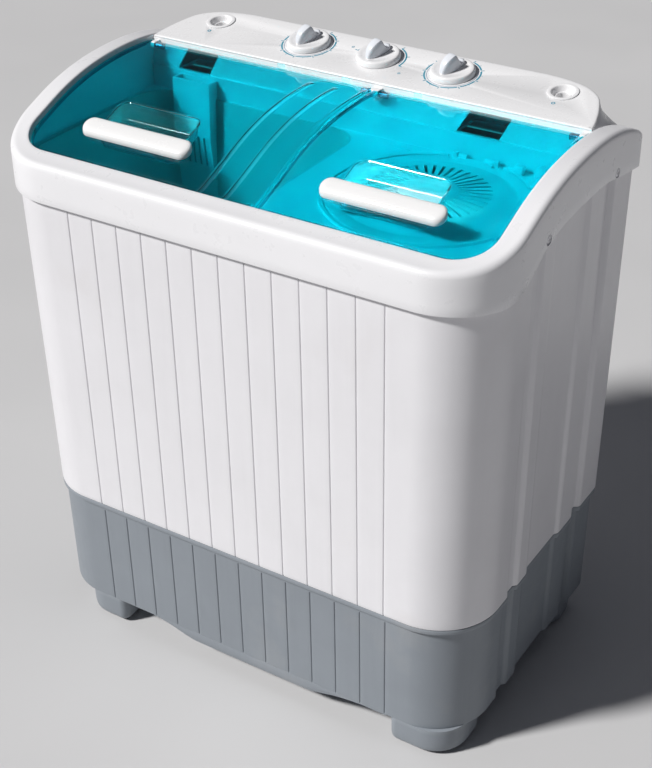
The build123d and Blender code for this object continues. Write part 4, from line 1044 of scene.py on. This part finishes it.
# ------------------------------------------------------------ water inlets
def inlet(name, cx, node):
    prof = [(9.0, -22.0), (9.0, -10.0), (13.0, -10.0), (13.0, 0.1), (15.9, 0.12), (16.4, 0.3), (16.5, 0.7), (16.3, 1.1), (15.6, 1.3), (13.2, 1.3), (12.4, 1.0),
            (11.9, 0.3), (10.9, -3.0), (9.8, -6.2), (9.0, -7.6), (8.2, -7.9), (8.0, -7.2), (7.9, -4.4), (7.6, -4.0), (7.0, -4.0), (6.6, -4.4), (6.5, -5.2), (6.5, -22.0)]
    rg = [[pp(cx + r * math.cos(t), IU + r * math.sin(t), n) for t in np.linspace(0, 2 * math.pi, 73)[:-1]] for r, n in prof]
    return make(name, [p for r in rg for p in r], grid_faces(len(rg), 72, True, True), "cabinet", "panel_plastic", M["panel"], 40, (node,))


inlet("water_inlet_cup_left", -IX, "inlet_funnel_left")
inlet("water_inlet_cup_right", IX, "inlet_funnel_right")


# -------------------------------------------------- inner lid of the spin tub
def inner_lid():
    cx, cy = 150.0, -20.0
    NS = 40
    D = 8
    prof = [(0.0, 600.0), (8, 600.0), (16, 600.0), (24, 599.9), (29.0, 599.8), (30.0, 599.7), (36, 599.5), (44, 599.2), (52, 598.9), (60, 598.5), (63.0, 598.3),
            (64.0, 598.2), (70, 597.6), (76, 596.2), (81, 594.2), (84.5, 592.8), (87.0, 592.2), (88.5, 592.0), (89.5, 592.15), (91, 592.4), (96, 592.5), (100, 592.5),
            (101.8, 592.3), (102.7, 591.8), (103.0, 591.2)]
    NA = NS * D
    verts, faces = [(cx, cy, 600.0)], []
    for r, z in prof[1:]:
        for j in range(NA):
            t = 2 * math.pi * (j + 0.5) / NA
            verts.append((cx + r * math.cos(t), cy + r * math.sin(t), z))
    for j in range(NA):
        faces.append((0, 1 + j, 1 + (j + 1) % NA))
    for i in range(len(prof) - 2):
        r0, r1 = prof[i + 1][0], prof[i + 2][0]
        for j in range(NA):
            rm = (r0 + r1) / 2
            slot = 29.5 < rm < 63.5 and (j % D) in (2, 3, 4)
            t = 2 * math.pi * (j + 1.0) / NA
            x, y = rm * math.cos(t), cy + rm * math.sin(t)
            if slot or (20.0 < abs(x) < 28.0 and y > 74) or y > 82.5:
                continue
            a = 1 + i * NA + j
            b = 1 + i * NA + (j + 1) % NA
            faces.append((a, b, b + NA, a + NA))
    ob = make("inner_lid_disc", verts, faces, "inner_lid_body", "tub_plastic", M["tub"], 35, ("spin_inner_lid",))
    so = ob.modifiers.new("wall", "SOLIDIFY")
    so.thickness = 2.0 * S
    so.offset = -1
    so.use_rim = True
    apply_mods(ob)
    bv = ob.modifiers.new("bv", "BEVEL")
    bv.width = 0.35 * S
    bv.segments = 1
    bv.limit_method = "ANGLE"
    bv.angle_limit = math.radians(60)
    apply_mods(ob)
    shade(ob, 35)
    parts = [tube_x(130, 140, 82, 593.5, 3.0), tube_x(160, 170, 82, 593.5, 3.0), soft_box(130, 170, 72, 82, 590.6, 592.6, 0.5)]
    rg = [[(cx + r * math.cos(t), cy + r * math.sin(t), z) for t in np.linspace(0, 2 * math.pi, 97)[:-1]]
          for r, z in ((93.2, 590.6), (93.0, 584.4), (93.4, 584.0), (95.3, 584.0), (95.7, 584.4), (95.6, 590.6))]
    parts.append(([p for r in rg for p in r], grid_faces(len(rg), 96, True, True)))
    make("inner_lid_hinge_and_rim", *join(*parts), "inner_lid_body", "tub_plastic", M["tub"], 40)


inner_lid()

# small clear tabs below the panel's front edge
tabs_ = [soft_box(x - 5, x + 5, 90.4, 91.6, 640.8, 647.0, 0.4) for x in (-95, -13, 75)]
make("panel_edge_tabs", *join(*tabs_), "cabinet", "blue_clear_plastic", M["clear"], 40)

# recesses in the frame's sides, each with a cross-head screw
SCR = [(sx, ys, zs) for ys, zs in ((-53, 597), (105, 603)) for sx in (-1, 1)]


def disc_x(x0, x1, cy, cz, prof, k=36):
    return loft([[(x0 + (x1 - x0) * t, cy + r * math.cos(a_), cz + r * math.sin(a_)) for a_ in np.linspace(0, 2 * math.pi, k + 1)[:-1]] for r, t in prof])


boolean(frame_ob, cutter("c2", [disc_x(sx * 293.4, sx * 299.0, ys, zs, ((5.6, 0), (5.6, 1))) for sx, ys, zs in SCR]))
shade(frame_ob, 38)
heads = [disc_x(sx * 293.2, sx * 294.9, ys, zs, ((4.0, 0), (4.0, 0.35), (3.7, 0.7), (2.9, 0.92), (1.5, 1.0))) for sx, ys, zs in SCR]
screws = make("frame_cross_screws", *join(*heads), "cabinet", "steel", M["steel"], 35, ("frame_screws",))
sl = []
for sx, ys, zs in SCR:
    for wy, wz in ((2.1, 0.35), (0.35, 2.1)):
        xa, xb = sorted((sx * 294.3, sx * 296.0))
        sl.append(loft([[(x, ys - wy, zs - wz), (x, ys + wy, zs - wz), (x, ys + wy, zs + wz), (x, ys - wy, zs + wz)] for x in (xa, xb)]))
boolean(screws, cutter("c3", sl[0::2]))
boolean(screws, cutter("c4", sl[1::2]))
shade(screws, 35)

# raised direction arrow and small clips on the deck
arrow = []
pts = [(58.0, 84.0 - 12), (78.0, 84.0 - 12), (68.0, 84.0 - 0.5)]
ar = []
for z, k_ in ((590.0, 1.0), (591.6, 0.97), (592.2, 0.86)):
    cxx, cyy = 68.0, 76.0
    ar.append([(cxx + (x - cxx) * k_, cyy + (y - cyy) * k_, z) for x, y in pts])
arrow.append(loft(ar))
arrow.append(soft_box(222, 232, 70, 80, 590, 604, 1.2))
arrow.append(soft_box(196, 206, 74, 82, 590, 600, 1.2))
make("deck_marks", *join(*arrow), "cabinet", "tub_plastic", M["tub"], 35)

# ------------------------------------------------------------ camera, lights
cam_d = bpy.data.cameras.new("cam")
cam = bpy.data.objects.new("cam", cam_d)
bpy.context.scene.collection.objects.link(cam)
AZ, EL, ROLL = math.radians(31.872), math.radians(32.171), math.radians(-0.31)
K = 0.78374
loc = Vector((1009.28 * K, (-1332.8 - 214.5) * K, (1514.96 + 45) * K)) * S
back = Vector((math.sin(AZ) * math.cos(EL), -math.cos(AZ) * math.cos(EL), math.sin(EL)))
fwd = -back
right = fwd.cross(Vector((0, 0, 1))).normalized()
up = right.cross(fwd)
c, s = math.cos(ROLL), math.sin(ROLL)
r2, u2 = right * c + up * s, -right * s + up * c
rot = Matrix((r2, u2, back)).transposed()
cam.matrix_world = Matrix.Translation(loc) @ rot.to_4x4()
cam_d.sensor_width = 36.0
cam_d.sensor_fit = "AUTO"
cam_d.lens = 1511.98 / 768 * 36.0
cam_d.shift_x = -(342.07 - 326) / 768
cam_d.shift_y = (387.61 - 384) / 768
cam_d.clip_end = 50
bpy.context.scene.camera = cam

floor_me = bpy.data.meshes.new("floor")
floor_me.from_pydata([(-40, -40, 0), (40, -40, 0), (40, 40, 0), (-40, 40, 0)], [], [(0, 1, 2, 3)])
floor = bpy.data.objects.new("studio_floor", floor_me)
bpy.context.scene.collection.objects.link(floor)
fm = Mat("studio")
fm.link(fm.ramp(fm.noise(2, 2), [(0.3, (0.60, 0.60, 0.605)), (0.7, (0.64, 0.64, 0.645))]), fm.p.inputs["Base Color"])
fm.p.inputs["Roughness"].default_value = 0.9
floor_me.materials.append(fm.m)

w = bpy.data.worlds.new("world")
bpy.context.scene.world = w
w.use_nodes = True
w.node_tree.nodes["Background"].inputs[0].default_value = (0.80, 0.84, 1.0, 1)
w.node_tree.nodes["Background"].inputs[1].default_value = 0.07


def area(name, loc, target, size, power, color=(1, 1, 1)):
    d = bpy.data.lights.new(name, "AREA")
    d.shape = "DISK"
    d.size = size
    d.energy = power
    d.color = color
    o = bpy.data.objects.new(name, d)
    bpy.context.scene.collection.objects.link(o)
    o.location = loc
    o.rotation_euler = (Vector(target) - Vector(loc)).to_track_quat("-Z", "Y").to_euler()
    return o


sd = bpy.data.lights.new("key", "SUN")
sd.energy = 3.85
sd.angle = math.radians(7)
sd.color = (1.0, 0.985, 0.97)
so = bpy.data.objects.new("key", sd)
bpy.context.scene.collection.objects.link(so)
so.rotation_euler = (-Vector((-0.477, -0.58, 0.66))).to_track_quat("-Z", "Y").to_euler()
area("fill", (2.6, -1.6, 1.6), (0, 0, 0.3), 2.2, 0.25, (0.80, 0.86, 1.0))
area("top", (0.3, 0.6, 3.2), (0, 0, 0.5), 2.5, 3, (0.95, 0.97, 1.0))
bpy.context.scene.view_settings.view_transform = "Standard"
bpy.context.scene.view_settings.look = "None"
